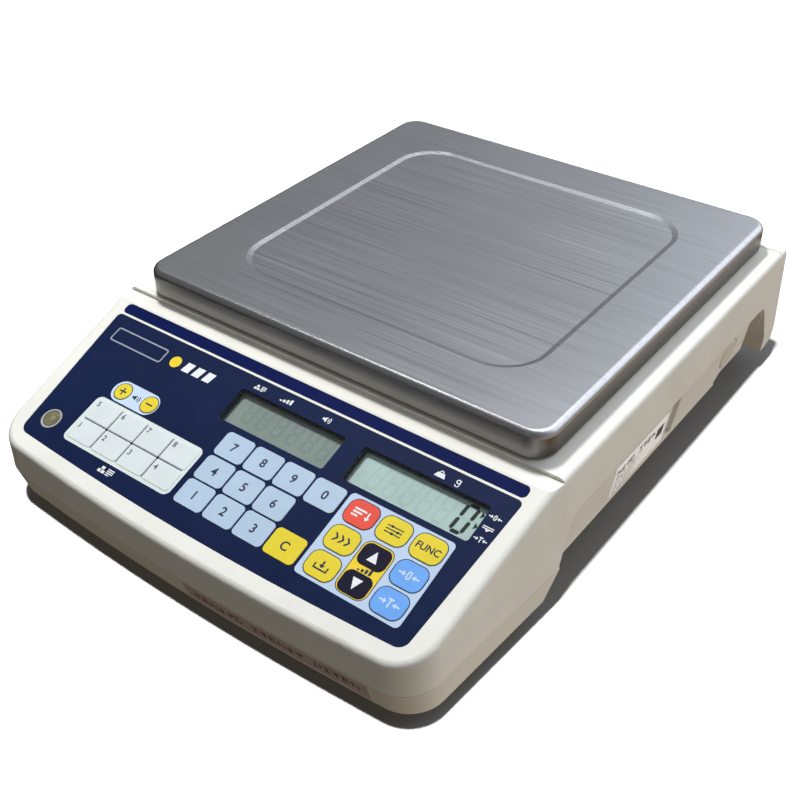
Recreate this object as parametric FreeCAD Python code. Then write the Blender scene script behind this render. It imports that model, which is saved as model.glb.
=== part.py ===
import FreeCAD, Part

import math
import os

os.makedirs("parts", exist_ok=True)

# Counting scale. Millimetres, +Z up, front towards -Y, the user's right towards +X.
# Y is measured here from the middle of the housing without its bowed front. Each part is
# moved back by half the bow as it is saved, so the saved origin is on the ground under the
# middle of the whole outline.

# ---- driving dimensions ----
HEIGHT = 90.0
HOUSING_HALF_WIDTH = 138.5
FRONT_HALF_WIDTH = 132.0
REAR_Y = 176.3
FRONT_CORNER_Y = -175.35
FRONT_PEAK_Y = -183.4
FRONT_BOW_RADIUS = 1720.0
CENTRING_SHIFT = 1.95
TAPER_END_Y = -73.0
FRONT_CORNER_RADIUS = 20.0
BEND_RADIUS = 150.0
REAR_CORNER_RADIUS = 6.5
DRAFT = math.tan(math.radians(1.8))
PARTING_Z = 24.0
DECK_Z = 75.0
DECK_BLEND_RADIUS = 40.0
REAR_GROOVE_Y = 164.2
REAR_GROOVE = 0.9
WALL = 2.5
EDGE_RADIUS = 3.5

PAN_WIDTH = 250.0
PAN_DEPTH = 240.0
PAN_CENTRE_Y = 49.3
PAN_CORNER_RADIUS = 12.0
PAN_EDGE_RADIUS = 3.5
PAN_SKIRT = 13.4
PAN_HEM = 1.8
PAN_HEM_HEIGHT = 1.4
SHEET = 1.0
PAN_RECESS = (180.0, 172.0, 22.0)
PAN_RECESS_DEPTH = 0.8
PAN_RECESS_RAMP = 3.0

PANEL_SLOPE = 18.5
PANEL_BOTTOM_Y = -168.1
PANEL_BOTTOM_Z = 43.5
PANEL_LENGTH = 83.0
PANEL_BOTTOM_HALF = 120.6
PANEL_TOP_HALF = 127.2
SHELF_Z = 72.8
SHELF_FRONT_Y = -86.0
RISER_Y = -71.7

FOOT_X = 90.0
FOOT_Y = (-125.0, 130.0)
FOOT_PAD_RADIUS = 13.0
FOOT_STUD_RADIUS = 3.0
FOOT_BORE_RADIUS = 3.05
FOOT_BOSS_BOTTOM = 8.0
SCREW_POINTS = [(sx * x, y) for x, y in ((95.0, -158.0), (95.0, 40.0), (90.0, 160.0)) for sx in (-1, 1)]

Z_AXIS = FreeCAD.Vector(0, 0, 1)
X_AXIS = FreeCAD.Vector(1, 0, 0)
Y_AXIS = FreeCAD.Vector(0, 1, 0)


# ---- helpers ----
def vec(x, y, z):
    return FreeCAD.Vector(x, y, z)


def block(x0, x1, y0, y1, z0, z1):
    return Part.makeBox(x1 - x0, y1 - y0, z1 - z0, vec(x0, y0, z0))


def rod(radius, length, start, axis=Z_AXIS):
    return Part.makeCylinder(radius, length, start, axis)


def fuse(shapes):
    return shapes[0].multiFuse(shapes[1:]).removeSplitter() if len(shapes) > 1 else shapes[0]


def save(name, shape):
    if not shape.isValid():
        raise ValueError(name + " is not a valid shape")
    shape.translate(vec(0, CENTRING_SHIFT, 0))
    shape.exportStep("parts/" + name + ".step")


def rounded_wire(corners, place):
    """Closed wire through (a, b, radius) corners; place(a, b) gives the 3-D point."""
    count = len(corners)
    edges = []
    starts = []
    ends = []
    middles = []
    for index in range(count):
        a, b, radius = corners[index]
        before = corners[index - 1]
        after = corners[(index + 1) % count]
        to_before = math.hypot(before[0] - a, before[1] - b)
        to_after = math.hypot(after[0] - a, after[1] - b)
        ub = ((before[0] - a) / to_before, (before[1] - b) / to_before)
        ua = ((after[0] - a) / to_after, (after[1] - b) / to_after)
        opening = math.acos(max(-1.0, min(1.0, ub[0] * ua[0] + ub[1] * ua[1])))
        reach = radius / math.tan(opening / 2)
        bisector = (ub[0] + ua[0], ub[1] + ua[1])
        size = math.hypot(*bisector)
        depth = radius / math.sin(opening / 2) - radius
        starts.append((a + ub[0] * reach, b + ub[1] * reach))
        ends.append((a + ua[0] * reach, b + ua[1] * reach))
        middles.append((a + bisector[0] / size * depth, b + bisector[1] / size * depth))
    for index in range(count):
        if corners[index][2] > 0:
            arc = Part.Arc(place(*starts[index]), place(*middles[index]), place(*ends[index]))
            edges.append(arc.toShape())
        following = (index + 1) % count
        edges.append(Part.LineSegment(place(*ends[index]), place(*starts[following])).toShape())
    return Part.Wire(edges)


def inset_corners(corners, inset):
    """Anticlockwise corners moved inwards by inset, their radii reduced to match."""
    count = len(corners)
    moved = []
    for index in range(count):
        a, b, radius = corners[index]
        before = corners[index - 1]
        after = corners[(index + 1) % count]
        d1 = (a - before[0], b - before[1])
        d2 = (after[0] - a, after[1] - b)
        s1 = math.hypot(*d1)
        s2 = math.hypot(*d2)
        n1 = (-d1[1] / s1, d1[0] / s1)
        n2 = (-d2[1] / s2, d2[0] / s2)
        scale = inset / (1 + n1[0] * n2[0] + n1[1] * n2[1])
        shift = ((n1[0] + n2[0]) * scale, (n1[1] + n2[1]) * scale)
        moved.append((a + shift[0], b + shift[1], max(radius - inset, 0.5) if radius else 0.0))
    return moved


def prism_xy(corners, z0, z1):
    face = Part.Face(rounded_wire(corners, lambda a, b: vec(a, b, z0)))
    return face.extrude(vec(0, 0, z1 - z0))


def prism_yz(corners, x0, x1):
    face = Part.Face(rounded_wire(corners, lambda a, b: vec(x0, a, b)))
    return face.extrude(vec(x1 - x0, 0, 0))


def prism_xz(corners, y0, y1):
    face = Part.Face(rounded_wire(corners, lambda a, b: vec(a, y0, b)))
    return face.extrude(vec(0, y1 - y0, 0))


def rectangle(width, depth, radius, x=0.0, y=0.0):
    w = width / 2
    d = depth / 2
    return [(x - w, y - d, radius), (x + w, y - d, radius), (x + w, y + d, radius), (x - w, y + d, radius)]


def pad(width, depth, radius, x, y, z0, z1):
    return prism_xy(rectangle(width, depth, radius, x, y), z0, z1)


def mirrored(shape):
    return shape.mirror(vec(0, 0, 0), X_AXIS)


def both_sides(shape):
    return [shape, mirrored(shape)]


def on_panel(shape):
    """Moves a shape from panel axes (across, up the slope, out of the face) to the scale."""
    placed = shape.copy()
    turn = FreeCAD.Placement(vec(0, PANEL_BOTTOM_Y, PANEL_BOTTOM_Z), FreeCAD.Rotation(X_AXIS, PANEL_SLOPE))
    placed.Placement = turn.multiply(placed.Placement)
    return placed


# ---- housing outline ----
def plan_corners(front_set=0.0):
    return [
        (-FRONT_HALF_WIDTH, FRONT_CORNER_Y + front_set, FRONT_CORNER_RADIUS),
        (0.0, FRONT_PEAK_Y + front_set, FRONT_BOW_RADIUS),
        (FRONT_HALF_WIDTH, FRONT_CORNER_Y + front_set, FRONT_CORNER_RADIUS),
        (HOUSING_HALF_WIDTH, TAPER_END_Y, BEND_RADIUS),
        (HOUSING_HALF_WIDTH, REAR_Y, REAR_CORNER_RADIUS),
        (-HOUSING_HALF_WIDTH, REAR_Y, REAR_CORNER_RADIUS),
        (-HOUSING_HALF_WIDTH, TAPER_END_Y, BEND_RADIUS),
    ]


def plan_wire(inset, z, front_set=0.0):
    return rounded_wire(inset_corners(plan_corners(front_set), inset), lambda a, b: vec(a, b, z))


def plan_loft(z0, inset0, z1, inset1, front_set0=0.0):
    return Part.makeLoft([plan_wire(inset0, z0, front_set0), plan_wire(inset1, z1)], True, True)


def panel_height(y):
    return PANEL_BOTTOM_Z + (y - PANEL_BOTTOM_Y) * math.tan(math.radians(PANEL_SLOPE))


def housing_solid(inset, bottom, edge_radius):
    """The upper housing's outside at inset 0, and its cavity at a larger inset."""
    top = DECK_Z - inset
    lift = inset / math.cos(math.radians(PANEL_SLOPE))
    far = 260.0
    meeting_y = PANEL_BOTTOM_Y + (top + lift - PANEL_BOTTOM_Z) / math.tan(math.radians(PANEL_SLOPE))
    side = [
        (-far, -far, 0.0),
        (far, -far, 0.0),
        (far, top, 0.0),
        (meeting_y, top, DECK_BLEND_RADIUS - inset),
        (-far, panel_height(-far) - lift, 0.0),
    ]
    low_inset = inset + (bottom - PARTING_Z) * DRAFT
    high_inset = inset + (90.0 - PARTING_Z) * DRAFT
    drafted = plan_loft(bottom, low_inset, 90.0, high_inset)
    body = drafted.common(prism_yz(side, -far, far))

    def surface_height(y):
        return min(top, panel_height(y) - lift)

    rim = []
    for edge in body.Edges:
        points = edge.discretize(5)
        near = all(abs(p.z - surface_height(p.y)) < 1.0 for p in points)
        crossing = abs(points[0].y - points[-1].y) < 0.01 and abs(points[0].y) < 150.0
        if near and not crossing:
            rim.append(edge)
    return body.makeFillet(edge_radius, rim)


# ---- side recess, shared by both halves of the housing ----
RECESS_TOP_Z = 49.0
RECESS_TOP_X = 137.5
RECESS_FOOT_X = 133.8
NOTCH_FRONT_Y = 131.0
NOTCH_REAR_Y = 156.5
NOTCH_DEPTH_X = 119.0


def recess_outline(top, low):
    return [(-76.0, low, 0.0), (157.5, low, 0.0), (148.0, top, 8.0), (-63.0, top, 12.0)]


def recess_cutter():
    slant = (RECESS_TOP_X - RECESS_FOOT_X) / (RECESS_TOP_Z - PARTING_Z)
    low = 20.0
    section = [
        (RECESS_TOP_X, RECESS_TOP_Z, 0.0),
        (RECESS_TOP_X - slant * (RECESS_TOP_Z - low), low, 0.0),
        (150.0, low, 0.0),
        (150.0, RECESS_TOP_Z, 0.0),
    ]
    wedge = prism_xz(section, -90.0, 165.0)
    arch = prism_yz(recess_outline(RECESS_TOP_Z + 0.01, low), 120.0, 151.0)
    notch_side = [
        (NOTCH_FRONT_Y, low, 0.0),
        (NOTCH_REAR_Y, low, 0.0),
        (147.5, 47.5, 7.0),
        (NOTCH_FRONT_Y - 1.5, 47.5, 1.5),
    ]
    notch = prism_yz(notch_side, NOTCH_DEPTH_X, 151.0)
    slot = block(131.8, 151.0, 36.5, 45.5, low, 48.0)
    edge_lift = prism_yz(
        [(93.2, low, 0.0), (NOTCH_FRONT_Y, low, 0.0), (NOTCH_FRONT_Y, 28.0, 0.0), (103.6, 28.0, 0.0)],
        129.0,
        151.0,
    )
    return fuse([wedge.common(arch), notch, slot, edge_lift])


def recess_backing():
    skin = block(130.0, 137.2, -72.0, 162.0, PARTING_Z, 51.0)
    notch_box = block(116.5, 137.2, 127.0, 162.0, PARTING_Z, 50.0)
    return [skin, notch_box]


SIDE_PLUG_Y = 106.5
SIDE_PLUG_Z = 39.5
SIDE_PLUG_RADIUS = 8.6
SIDE_PLUG_SEAT_RADIUS = 9.4
RECESS_TILT = math.degrees(math.atan2(RECESS_TOP_X - RECESS_FOOT_X, RECESS_TOP_Z - PARTING_Z))


def side_plug_axis():
    angle = math.radians(RECESS_TILT)
    return vec(math.cos(angle), 0, -math.sin(angle))


def side_plug_centre():
    share = (RECESS_TOP_Z - SIDE_PLUG_Z) / (RECESS_TOP_Z - PARTING_Z)
    return vec(RECESS_TOP_X + (RECESS_FOOT_X - RECESS_TOP_X) * share, SIDE_PLUG_Y, SIDE_PLUG_Z)


# ---- rear connection bay ----
BAY_X = (-120.0, -62.0)
BAY_Z = (30.0, 51.0)
BAY_FLOOR_Y = 170.5
BAY_BACK_Y = 168.0
SWITCH_X = -106.0
SWITCH_Z = 40.5
JACK_X = -76.0
JACK_Z = 40.5
JACK_BARREL_RADIUS = 4.6

# ---- panel stack, heights out of the panel face ----
RECESS_DEPTH = 1.6
BACKING_DEPTH = 4.0
OVERLAY_TOP = -0.05
OVERLAY_BOTTOM = -1.0
WINDOW_TOP = -1.05
WINDOW_BOTTOM = -1.55
KEY_TOP = 0.2
KEY_BOTTOM = -0.55
KEY_GAP = 0.2
STRIPE = (253.0, 6.3, 2.6, 87.65)
STRIPE_DEPTH = 0.5
SMALL_LCD = (3.4, 64.6, 65.8, 19.5)
LARGE_LCD = (81.6, 65.0, 69.0, 19.4)
LCDS = (SMALL_LCD, LARGE_LCD)
LEVEL = (-110.0, 13.9)
LEVEL_RADIUS = 5.8


def digit_keys():
    columns = (-9.3, 9.3, 27.8, 46.4)
    rows = (44.5, 29.7, 15.1)
    layout = {7: (0, 0), 8: (1, 0), 9: (2, 0), 0: (3, 0)}
    layout.update({4: (0, 1), 5: (1, 1), 6: (2, 1), 1: (0, 2), 2: (1, 2), 3: (2, 2)})
    keys = {"key_digit_%d" % n: (columns[c], rows[r], 17.5, 13.8, 2.4) for n, (c, r) in layout.items()}
    keys["key_clear"] = (columns[3], rows[2], 17.5, 13.8, 2.4)
    return keys


def preset_keys():
    pitch_x = 18.1
    pitch_s = 13.1
    first_x = -86.0
    keys = {}
    for number in range(8):
        x = first_x + pitch_x * (number % 4)
        s = 15.9 + pitch_s * (number // 4)
        keys["key_preset_%d" % (number + 1)] = (x, s, 17.0, 12.0, 1.6)
    return keys


def function_keys():
    columns = (67.4, 85.3, 103.6)
    rows = (44.4, 29.9, 15.5)
    names = [
        ("key_sort", 0, 0), ("key_setup", 1, 0), ("key_function", 2, 0),
        ("key_easy", 0, 1), ("key_rank_up", 1, 1), ("key_zero", 2, 1),
        ("key_store", 0, 2), ("key_rank_down", 1, 2), ("key_tare", 2, 2),
    ]
    keys = {}
    for name, c, r in names:
        ranked = name.startswith("key_rank")
        size = (14.6, 11.0, 3.6) if ranked else (15.8, 12.4, 4.4)
        keys[name] = (columns[c], rows[r]) + size
    return keys


def volume_keys():
    size = (9.4, 9.4, 4.65)
    return {"key_volume_up": (-86.2, 44.1) + size, "key_volume_down": (-67.3, 44.1) + size}


KEYS = {}
KEYS.update(digit_keys())
KEYS.update(preset_keys())
KEYS.update(function_keys())
KEYS.update(volume_keys())


def panel_corners(grow):
    return inset_corners(
        [
            (-PANEL_BOTTOM_HALF, 1.2, 5.5),
            (0.0, -5.1, 1900.0),
            (PANEL_BOTTOM_HALF, 1.2, 5.5),
            (PANEL_TOP_HALF, PANEL_LENGTH, 2.5),
            (-PANEL_TOP_HALF, PANEL_LENGTH, 2.5),
        ],
        -grow,
    )


def lcd_pad(lcd, grow, z0, z1):
    x, s, width, height = lcd
    return pad(width + 2 * grow, height + 2 * grow, 1.6, x, s, z0, z1)


# ---- sub-parts: housing ----
def top_cover():
    outside = housing_solid(0.0, PARTING_Z, EDGE_RADIUS)
    cavity = housing_solid(WALL, 20.0, EDGE_RADIUS - WALL)
    shell = outside.cut(cavity)
    inner = outside.common(on_panel(prism_xy(panel_corners(-2.0), -BACKING_DEPTH, -1.0)))
    posts = []
    for x, y in SCREW_POINTS:
        roof = min(DECK_Z, panel_height(y)) - 1.5
        posts.append(rod(4.6, roof - 26.0, vec(x, y, 26.0)))
    backing = []
    for piece in recess_backing():
        backing += both_sides(piece)
    bay_back = block(BAY_X[0] - 3, BAY_X[1] + 3, BAY_BACK_Y, 175.0, BAY_Z[0] - 3, BAY_Z[1] + 3)
    extras = [piece.common(outside) for piece in backing + [bay_back]]
    cover = fuse([shell, inner] + posts + extras)

    cuts = both_sides(recess_cutter())
    cuts.append(block(-200, 200, SHELF_FRONT_Y, RISER_Y, SHELF_Z, DECK_Z + 5))
    groove_end = REAR_GROOVE_Y + REAR_GROOVE
    cuts.append(block(-200, 200, REAR_GROOVE_Y, groove_end, DECK_Z - REAR_GROOVE, DECK_Z + 5))
    cuts.append(pad(56.0, 46.0, 4.0, 0.0, 99.0, DECK_Z - 5, DECK_Z + 1))
    cuts.append(block(BAY_X[0], BAY_X[1], BAY_FLOOR_Y, 180.0, BAY_Z[0], BAY_Z[1]))
    cuts.append(block(SWITCH_X - 6.2, SWITCH_X + 6.2, 160.0, 172.0, SWITCH_Z - 9.2, SWITCH_Z + 9.2))
    cuts.append(rod(JACK_BARREL_RADIUS + 0.1, 12.0, vec(JACK_X, 160.0, JACK_Z), Y_AXIS))
    cuts.append(on_panel(prism_xy(panel_corners(0.15), -RECESS_DEPTH, 4.0)))
    width, height, radius, s = STRIPE
    cuts.append(on_panel(pad(width + 0.3, height + 0.3, radius, 0.0, s, -STRIPE_DEPTH, 4.0)))
    for lcd in LCDS:
        cuts.append(on_panel(lcd_pad(lcd, 0.0, -BACKING_DEPTH - 2, 0.0)))
    cuts.append(on_panel(rod(LEVEL_RADIUS + 0.1, 20.0, vec(LEVEL[0], LEVEL[1], -15.0))))
    for x, y in SCREW_POINTS:
        cuts.append(rod(1.5, 14.0, vec(x, y, 25.0)))
    plug_start = side_plug_centre() - side_plug_axis() * 1.6
    cuts.append(rod(SIDE_PLUG_SEAT_RADIUS, 6.0, plug_start, side_plug_axis()))
    return cover.cut(Part.makeCompound(cuts))


def base_outline(inset):
    """Lower shell's outside, its floor rising from front to back, at a given inset."""
    drafted = plan_loft(4.0, 1.2 + inset, PARTING_Z, inset, 4.2)
    front_floor = 8.0 + inset
    rear_floor = 13.6 + inset
    under = [
        (-190.0, -20.0, 0.0),
        (190.0, -20.0, 0.0),
        (190.0, rear_floor + 7.5, 0.0),
        (162.0, rear_floor, 0.0),
        (-190.0, front_floor, 0.0),
    ]
    return drafted.cut(prism_yz(under, -200.0, 200.0))


def pocket_region(grow, x0, z1):
    side = [
        (-93.0 - grow, -2.0, 0.0),
        (161.5 + grow, -2.0, 0.0),
        (152.0 + grow, 28.0, 0.0),
        (-69.0 - grow, 28.0, 0.0),
    ]
    return prism_yz(side, x0, 150.0).common(block(x0, 150.0, -200.0, 200.0, -5.0, z1))


SPEAKER = (60.0, -100.0)
SPEAKER_RADIUS = 20.0
SPEAKER_SEAT_Z = 12.4
SPEAKER_COLLAR_Z = (11.0, 15.2)


def speaker_slots():
    x, centre_y = SPEAKER
    slots = []
    for index in range(-3, 4):
        offset = 4.0 * index
        half = math.sqrt(15.0 ** 2 - offset ** 2)
        y = centre_y + offset
        slots.append(block(x - half, x + half, y - 0.8, y + 0.8, 0.0, 14.0))
    return slots


def speaker_collar():
    x, y = SPEAKER
    low, high = SPEAKER_COLLAR_Z
    outer = rod(SPEAKER_RADIUS + 2.2, high - low, vec(x, y, low))
    return outer.cut(rod(SPEAKER_RADIUS + 0.3, high - low, vec(x, y, low)))


BOARD_X = (-86.0, -36.0)
BOARD_Y = (-72.0, 28.0)
BOARD_Z = 22.0
BOARD_POSTS = [(x, y) for x in (-82.0, -40.0) for y in (-68.0, 24.0)]


def bottom_base():
    outside = base_outline(0.0)
    shell = outside.cut(base_outline(WALL))
    pockets = []
    notch_back = block(NOTCH_DEPTH_X - WALL, 151.0, NOTCH_REAR_Y - 4.0, 161.0, 14.0, PARTING_Z)
    for wall in both_sides(pocket_region(WALL, 105.5, PARTING_Z)) + both_sides(notch_back):
        pockets.append(wall.common(outside))
    cutters = both_sides(pocket_region(0.0, 108.0, 21.5)) + both_sides(pocket_region(0.0, 133.6, 26.0))
    cutters += both_sides(block(124.0, 151.0, 99.0, NOTCH_FRONT_Y, 15.0, 26.0))
    cutters += both_sides(block(NOTCH_DEPTH_X, 151.0, NOTCH_FRONT_Y, NOTCH_REAR_Y, 15.0, 26.0))
    posts = [block(-30.0, 30.0, -36.0, 20.0, 10.0, 16.0), speaker_collar()]
    for x, y in SCREW_POINTS:
        posts.append(rod(5.5, 17.0, vec(x, y, 9.0)).common(block(-200, 200, -200, 200, 9, 26)))
    for y in FOOT_Y:
        for x in (-FOOT_X, FOOT_X):
            posts.append(rod(11.0, 6.0, vec(x, y, FOOT_BOSS_BOTTOM)))
            posts.append(rod(6.5, 14.0, vec(x, y, FOOT_BOSS_BOTTOM)))
    for x, y in BOARD_POSTS:
        posts.append(rod(3.0, BOARD_Z - 10.0, vec(x, y, 10.0)))
    base = fuse([shell] + pockets + posts)
    for x, y in SCREW_POINTS:
        cutters.append(rod(1.8, 30.0, vec(x, y, 0.0)))
        cutters.append(rod(3.6, 14.0, vec(x, y, 0.0)))
    for y in FOOT_Y:
        for x in (-FOOT_X, FOOT_X):
            cutters.append(rod(FOOT_BORE_RADIUS, 30.0, vec(x, y, 0.0)))
    for x, y in BOARD_POSTS:
        cutters.append(rod(1.1, 8.0, vec(x, y, BOARD_Z - 7.0)))
    for y in (-11.0, 7.0):
        cutters.append(rod(3.1, 8.0, vec(0.0, y, 9.5)))
    groove = plan_loft(PARTING_Z - 0.6, -1.0, PARTING_Z + 1.0, -1.0)
    groove = groove.cut(plan_loft(PARTING_Z - 0.7, 0.6, PARTING_Z + 1.1, 0.6))
    cutters.append(groove)
    return base.cut(Part.makeCompound(cutters + speaker_slots()))


def side_plug():
    axis = side_plug_axis()
    start = side_plug_centre() - axis * 1.6
    head = rod(SIDE_PLUG_RADIUS, 1.9, start, axis)
    return head.makeFillet(0.6, [e for e in head.Edges if (e.CenterOfMass - start).dot(axis) > 1.8])


def labels():
    slant = math.radians(RECESS_TILT)
    rating = block(0.0, 0.25, 0.0, 54.0, -19.0, 0.0)
    rating.Placement = FreeCAD.Placement(
        vec(RECESS_TOP_X - math.tan(slant) * 4.0 + 0.02, -21.0, RECESS_TOP_Z - 4.0),
        FreeCAD.Rotation(Y_AXIS, math.degrees(slant)),
    )
    strip = base_outline(-0.27).cut(base_outline(-0.02))
    notice = strip.common(block(4.0, 108.5, -200.0, -150.0, 10.5, 21.5))
    return Part.makeCompound([rating, notice])


# ---- sub-parts: weighing ----
def pan_blank(inset, top, bottom, recess_top):
    width = PAN_WIDTH - 2 * inset
    depth = PAN_DEPTH - 2 * inset
    solid = pad(width, depth, PAN_CORNER_RADIUS - inset, 0.0, PAN_CENTRE_Y, bottom, top)
    rim = [e for e in solid.Edges if abs(e.CenterOfMass.z - top) < 0.01]
    solid = solid.makeFillet(PAN_EDGE_RADIUS - inset, rim)
    wide, deep, radius = PAN_RECESS

    def ring(grow, z):
        outline = rectangle(wide + 2 * grow, deep + 2 * grow, radius + grow, 0.0, PAN_CENTRE_Y)
        return rounded_wire(outline, lambda a, b: vec(a, b, z))

    ramp = PAN_RECESS_RAMP
    extra = ramp / PAN_RECESS_DEPTH
    low_ring = ring(0.0, recess_top - PAN_RECESS_DEPTH)
    high_ring = ring(ramp + extra, recess_top + 1.0)
    dish = Part.makeLoft([low_ring, high_ring], True, True)
    return solid.cut(dish)


def weighing_pan():
    bottom = HEIGHT - PAN_SKIRT
    outside = pan_blank(0.0, HEIGHT, bottom, HEIGHT)
    inside = pan_blank(SHEET, HEIGHT - SHEET, bottom - 5.0, HEIGHT - SHEET)
    shell = outside.cut(inside)
    hem_out = pad(PAN_WIDTH, PAN_DEPTH, PAN_CORNER_RADIUS, 0.0, PAN_CENTRE_Y, bottom, bottom + PAN_HEM_HEIGHT)
    width = PAN_WIDTH - 2 * PAN_HEM
    depth = PAN_DEPTH - 2 * PAN_HEM
    hem_in = pad(width, depth, PAN_CORNER_RADIUS - PAN_HEM, 0.0, PAN_CENTRE_Y, bottom - 1, bottom + 2)
    return fuse([shell, hem_out.cut(hem_in)]).removeSplitter()


CARRIER_Z = (79.0, 84.0)
CUSHION_POINTS = [(sx * 76.0, PAN_CENTRE_Y + sy * 70.0) for sx in (-1, 1) for sy in (-1, 1)]
CELL_Z = (30.0, 52.0)
CELL_Y = (-16.0, 114.0)
CELL_HALF_WIDTH = 15.0
POST_BOLTS = [(sx * 9.0, 99.0) for sx in (-1, 1)]
CELL_BOLTS = [(0.0, -11.0), (0.0, 7.0)]


def pan_carrier():
    z0, z1 = CARRIER_Z
    reach = math.hypot(76.0, 70.0) + 12.0
    angle = math.degrees(math.atan2(70.0, 76.0))
    arms = []
    for turn in (angle, -angle):
        arm = pad(2 * reach, 26.0, 12.0, 0.0, 0.0, z0, z1)
        rib = block(-reach + 20, reach - 20, -2.0, 2.0, z0 - 2.0, z0 + 0.5)
        arm = arm.fuse(rib)
        arm.Placement = FreeCAD.Placement(vec(0.0, PAN_CENTRE_Y, 0.0), FreeCAD.Rotation(Z_AXIS, turn))
        arms.append(arm)
    hub = pad(84.0, 110.0, 10.0, 0.0, PAN_CENTRE_Y + 20.0, z0, z1)
    window = pad(40.0, 34.0, 6.0, 0.0, PAN_CENTRE_Y, z0 - 3, z1 + 1)
    plate = fuse(arms + [hub]).cut(window)
    holes = [rod(3.1, 12.0, vec(x, y, z0 - 4)) for x, y in POST_BOLTS]
    clearance = pad(42.0, 36.0, 3.0, 0.0, 99.0, z0 - 3, z0)
    return plate.cut(Part.makeCompound(holes + [clearance]))


def pan_cushions():
    top = HEIGHT - PAN_RECESS_DEPTH - SHEET
    studs = []
    for x, y in CUSHION_POINTS:
        disc = rod(8.0, top - CARRIER_Z[1], vec(x, y, CARRIER_Z[1]))
        studs.append(disc.makeFillet(0.8, [e for e in disc.Edges if abs(e.CenterOfMass.z - top) < 0.01]))
    return Part.makeCompound(studs)


def load_cell():
    z0, z1 = CELL_Z
    middle = (z0 + z1) / 2
    beam = block(-CELL_HALF_WIDTH, CELL_HALF_WIDTH, CELL_Y[0], CELL_Y[1], z0, z1)
    edges = [e for e in beam.Edges if abs(e.CenterOfMass.y - 49.0) < 0.01]
    beam = beam.makeChamfer(0.8, edges)
    cuts = [rod(7.6, 40.0, vec(-20.0, y, middle), X_AXIS) for y in (36.0, 62.0)]
    cuts.append(block(-20.0, 20.0, 36.0, 62.0, middle - 2.0, middle + 2.0))
    cuts += [rod(3.1, 30.0, vec(x, y, z0 - 2)) for x, y in CELL_BOLTS]
    return beam.cut(Part.makeCompound(cuts))


def load_cell_mount():
    body = pad(40.0, 36.0, 3.0, 0.0, -2.0, 16.0, CELL_Z[0])
    return body.cut(Part.makeCompound([rod(3.1, 20.0, vec(x, y, 14.0)) for x, y in CELL_BOLTS]))


def load_cell_post():
    body = pad(40.0, 34.0, 3.0, 0.0, 99.0, CELL_Z[1], CARRIER_Z[0])
    return body.cut(Part.makeCompound([rod(3.1, 24.0, vec(x, y, 60.0)) for x, y in POST_BOLTS]))


def cap_screw(radius, length, head_radius, head_height, x, y, head_z):
    """Socket-head screw standing along Z, its head seated at head_z, shank below."""
    shank = rod(radius, length, vec(x, y, head_z - length))
    head = rod(head_radius, head_height, vec(x, y, head_z))
    socket = rod(head_radius * 0.5, head_height * 0.6, vec(x, y, head_z + head_height * 0.5))
    return shank.fuse(head).cut(socket)


def load_cell_bolts():
    return Part.makeCompound([cap_screw(3.0, 38.0, 5.0, 5.0, x, y, CELL_Z[1]) for x, y in CELL_BOLTS])


def carrier_bolts():
    return Part.makeCompound([cap_screw(3.0, 20.0, 5.0, 3.2, x, y, CARRIER_Z[1]) for x, y in POST_BOLTS])


def load_cell_cable():
    """Screened lead from the beam's fixed end, over and down to the main board's socket."""
    radius = 1.6
    bend = 12.0
    start = vec(-CELL_HALF_WIDTH, -6.0, 41.0)
    turn = vec(-33.0, -6.0, 41.0)
    corner = vec(-33.0 - bend * math.sin(math.pi / 4), -6.0, 41.0 - bend * (1 - math.cos(math.pi / 4)))
    down = vec(-33.0 - bend, -6.0, 41.0 - bend)
    end = vec(-33.0 - bend, -6.0, 28.0)
    first = Part.LineSegment(start, turn).toShape()
    curve = Part.Arc(turn, corner, down).toShape()
    last = Part.LineSegment(down, end).toShape()
    section = Part.Wire([Part.Circle(start, X_AXIS, radius).toShape()])
    return Part.Wire([first, curve, last]).makePipeShell([section], True, True)


# ---- sub-parts: electronics ----
def main_board():
    board = block(BOARD_X[0], BOARD_X[1], BOARD_Y[0], BOARD_Y[1], BOARD_Z, BOARD_Z + 1.6)
    top = BOARD_Z + 1.6
    parts = [
        board,
        block(-49.0, -41.0, -12.0, 0.0, top, 28.0),
        block(-70.0, -54.0, -40.0, -24.0, top, top + 2.0),
        block(-80.0, -66.0, 6.0, 20.0, top, top + 12.0),
        rod(4.0, 12.0, vec(-48.0, 14.0, top)),
        rod(4.0, 12.0, vec(-58.0, 14.0, top)),
        block(-84.0, -76.0, -56.0, -30.0, top, top + 6.0),
    ]
    holes = [rod(1.3, 4.0, vec(x, y, BOARD_Z - 1)) for x, y in BOARD_POSTS]
    return fuse(parts).cut(Part.makeCompound(holes))


DISPLAY_BOARD = (10.0, 119.0, 51.0, 80.0)
DISPLAY_BOARD_TOP = -9.0


def display_board():
    x1 = DISPLAY_BOARD[1]
    board = block(-40.0, x1, DISPLAY_BOARD[2], DISPLAY_BOARD[3], DISPLAY_BOARD_TOP - 1.6, DISPLAY_BOARD_TOP)
    rails = []
    for x, s, width, height in LCDS:
        for side in (-1, 1):
            y = s + side * (height / 2 + 1.5)
            rails.append(block(x - width / 2, x + width / 2, y - 1.0, y + 1.0, DISPLAY_BOARD_TOP, -6.6))
    chip = block(40.0, 52.0, 56.0, 68.0, DISPLAY_BOARD_TOP - 3.2, DISPLAY_BOARD_TOP - 1.6)
    return on_panel(fuse([board, chip] + rails))


def lcd_module(lcd):
    glass = lcd_pad(lcd, 3.0, -6.6, -BACKING_DEPTH)
    return on_panel(glass)


def display_windows():
    return Part.makeCompound([on_panel(lcd_pad(lcd, 1.6, WINDOW_BOTTOM, WINDOW_TOP)) for lcd in LCDS])


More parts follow.
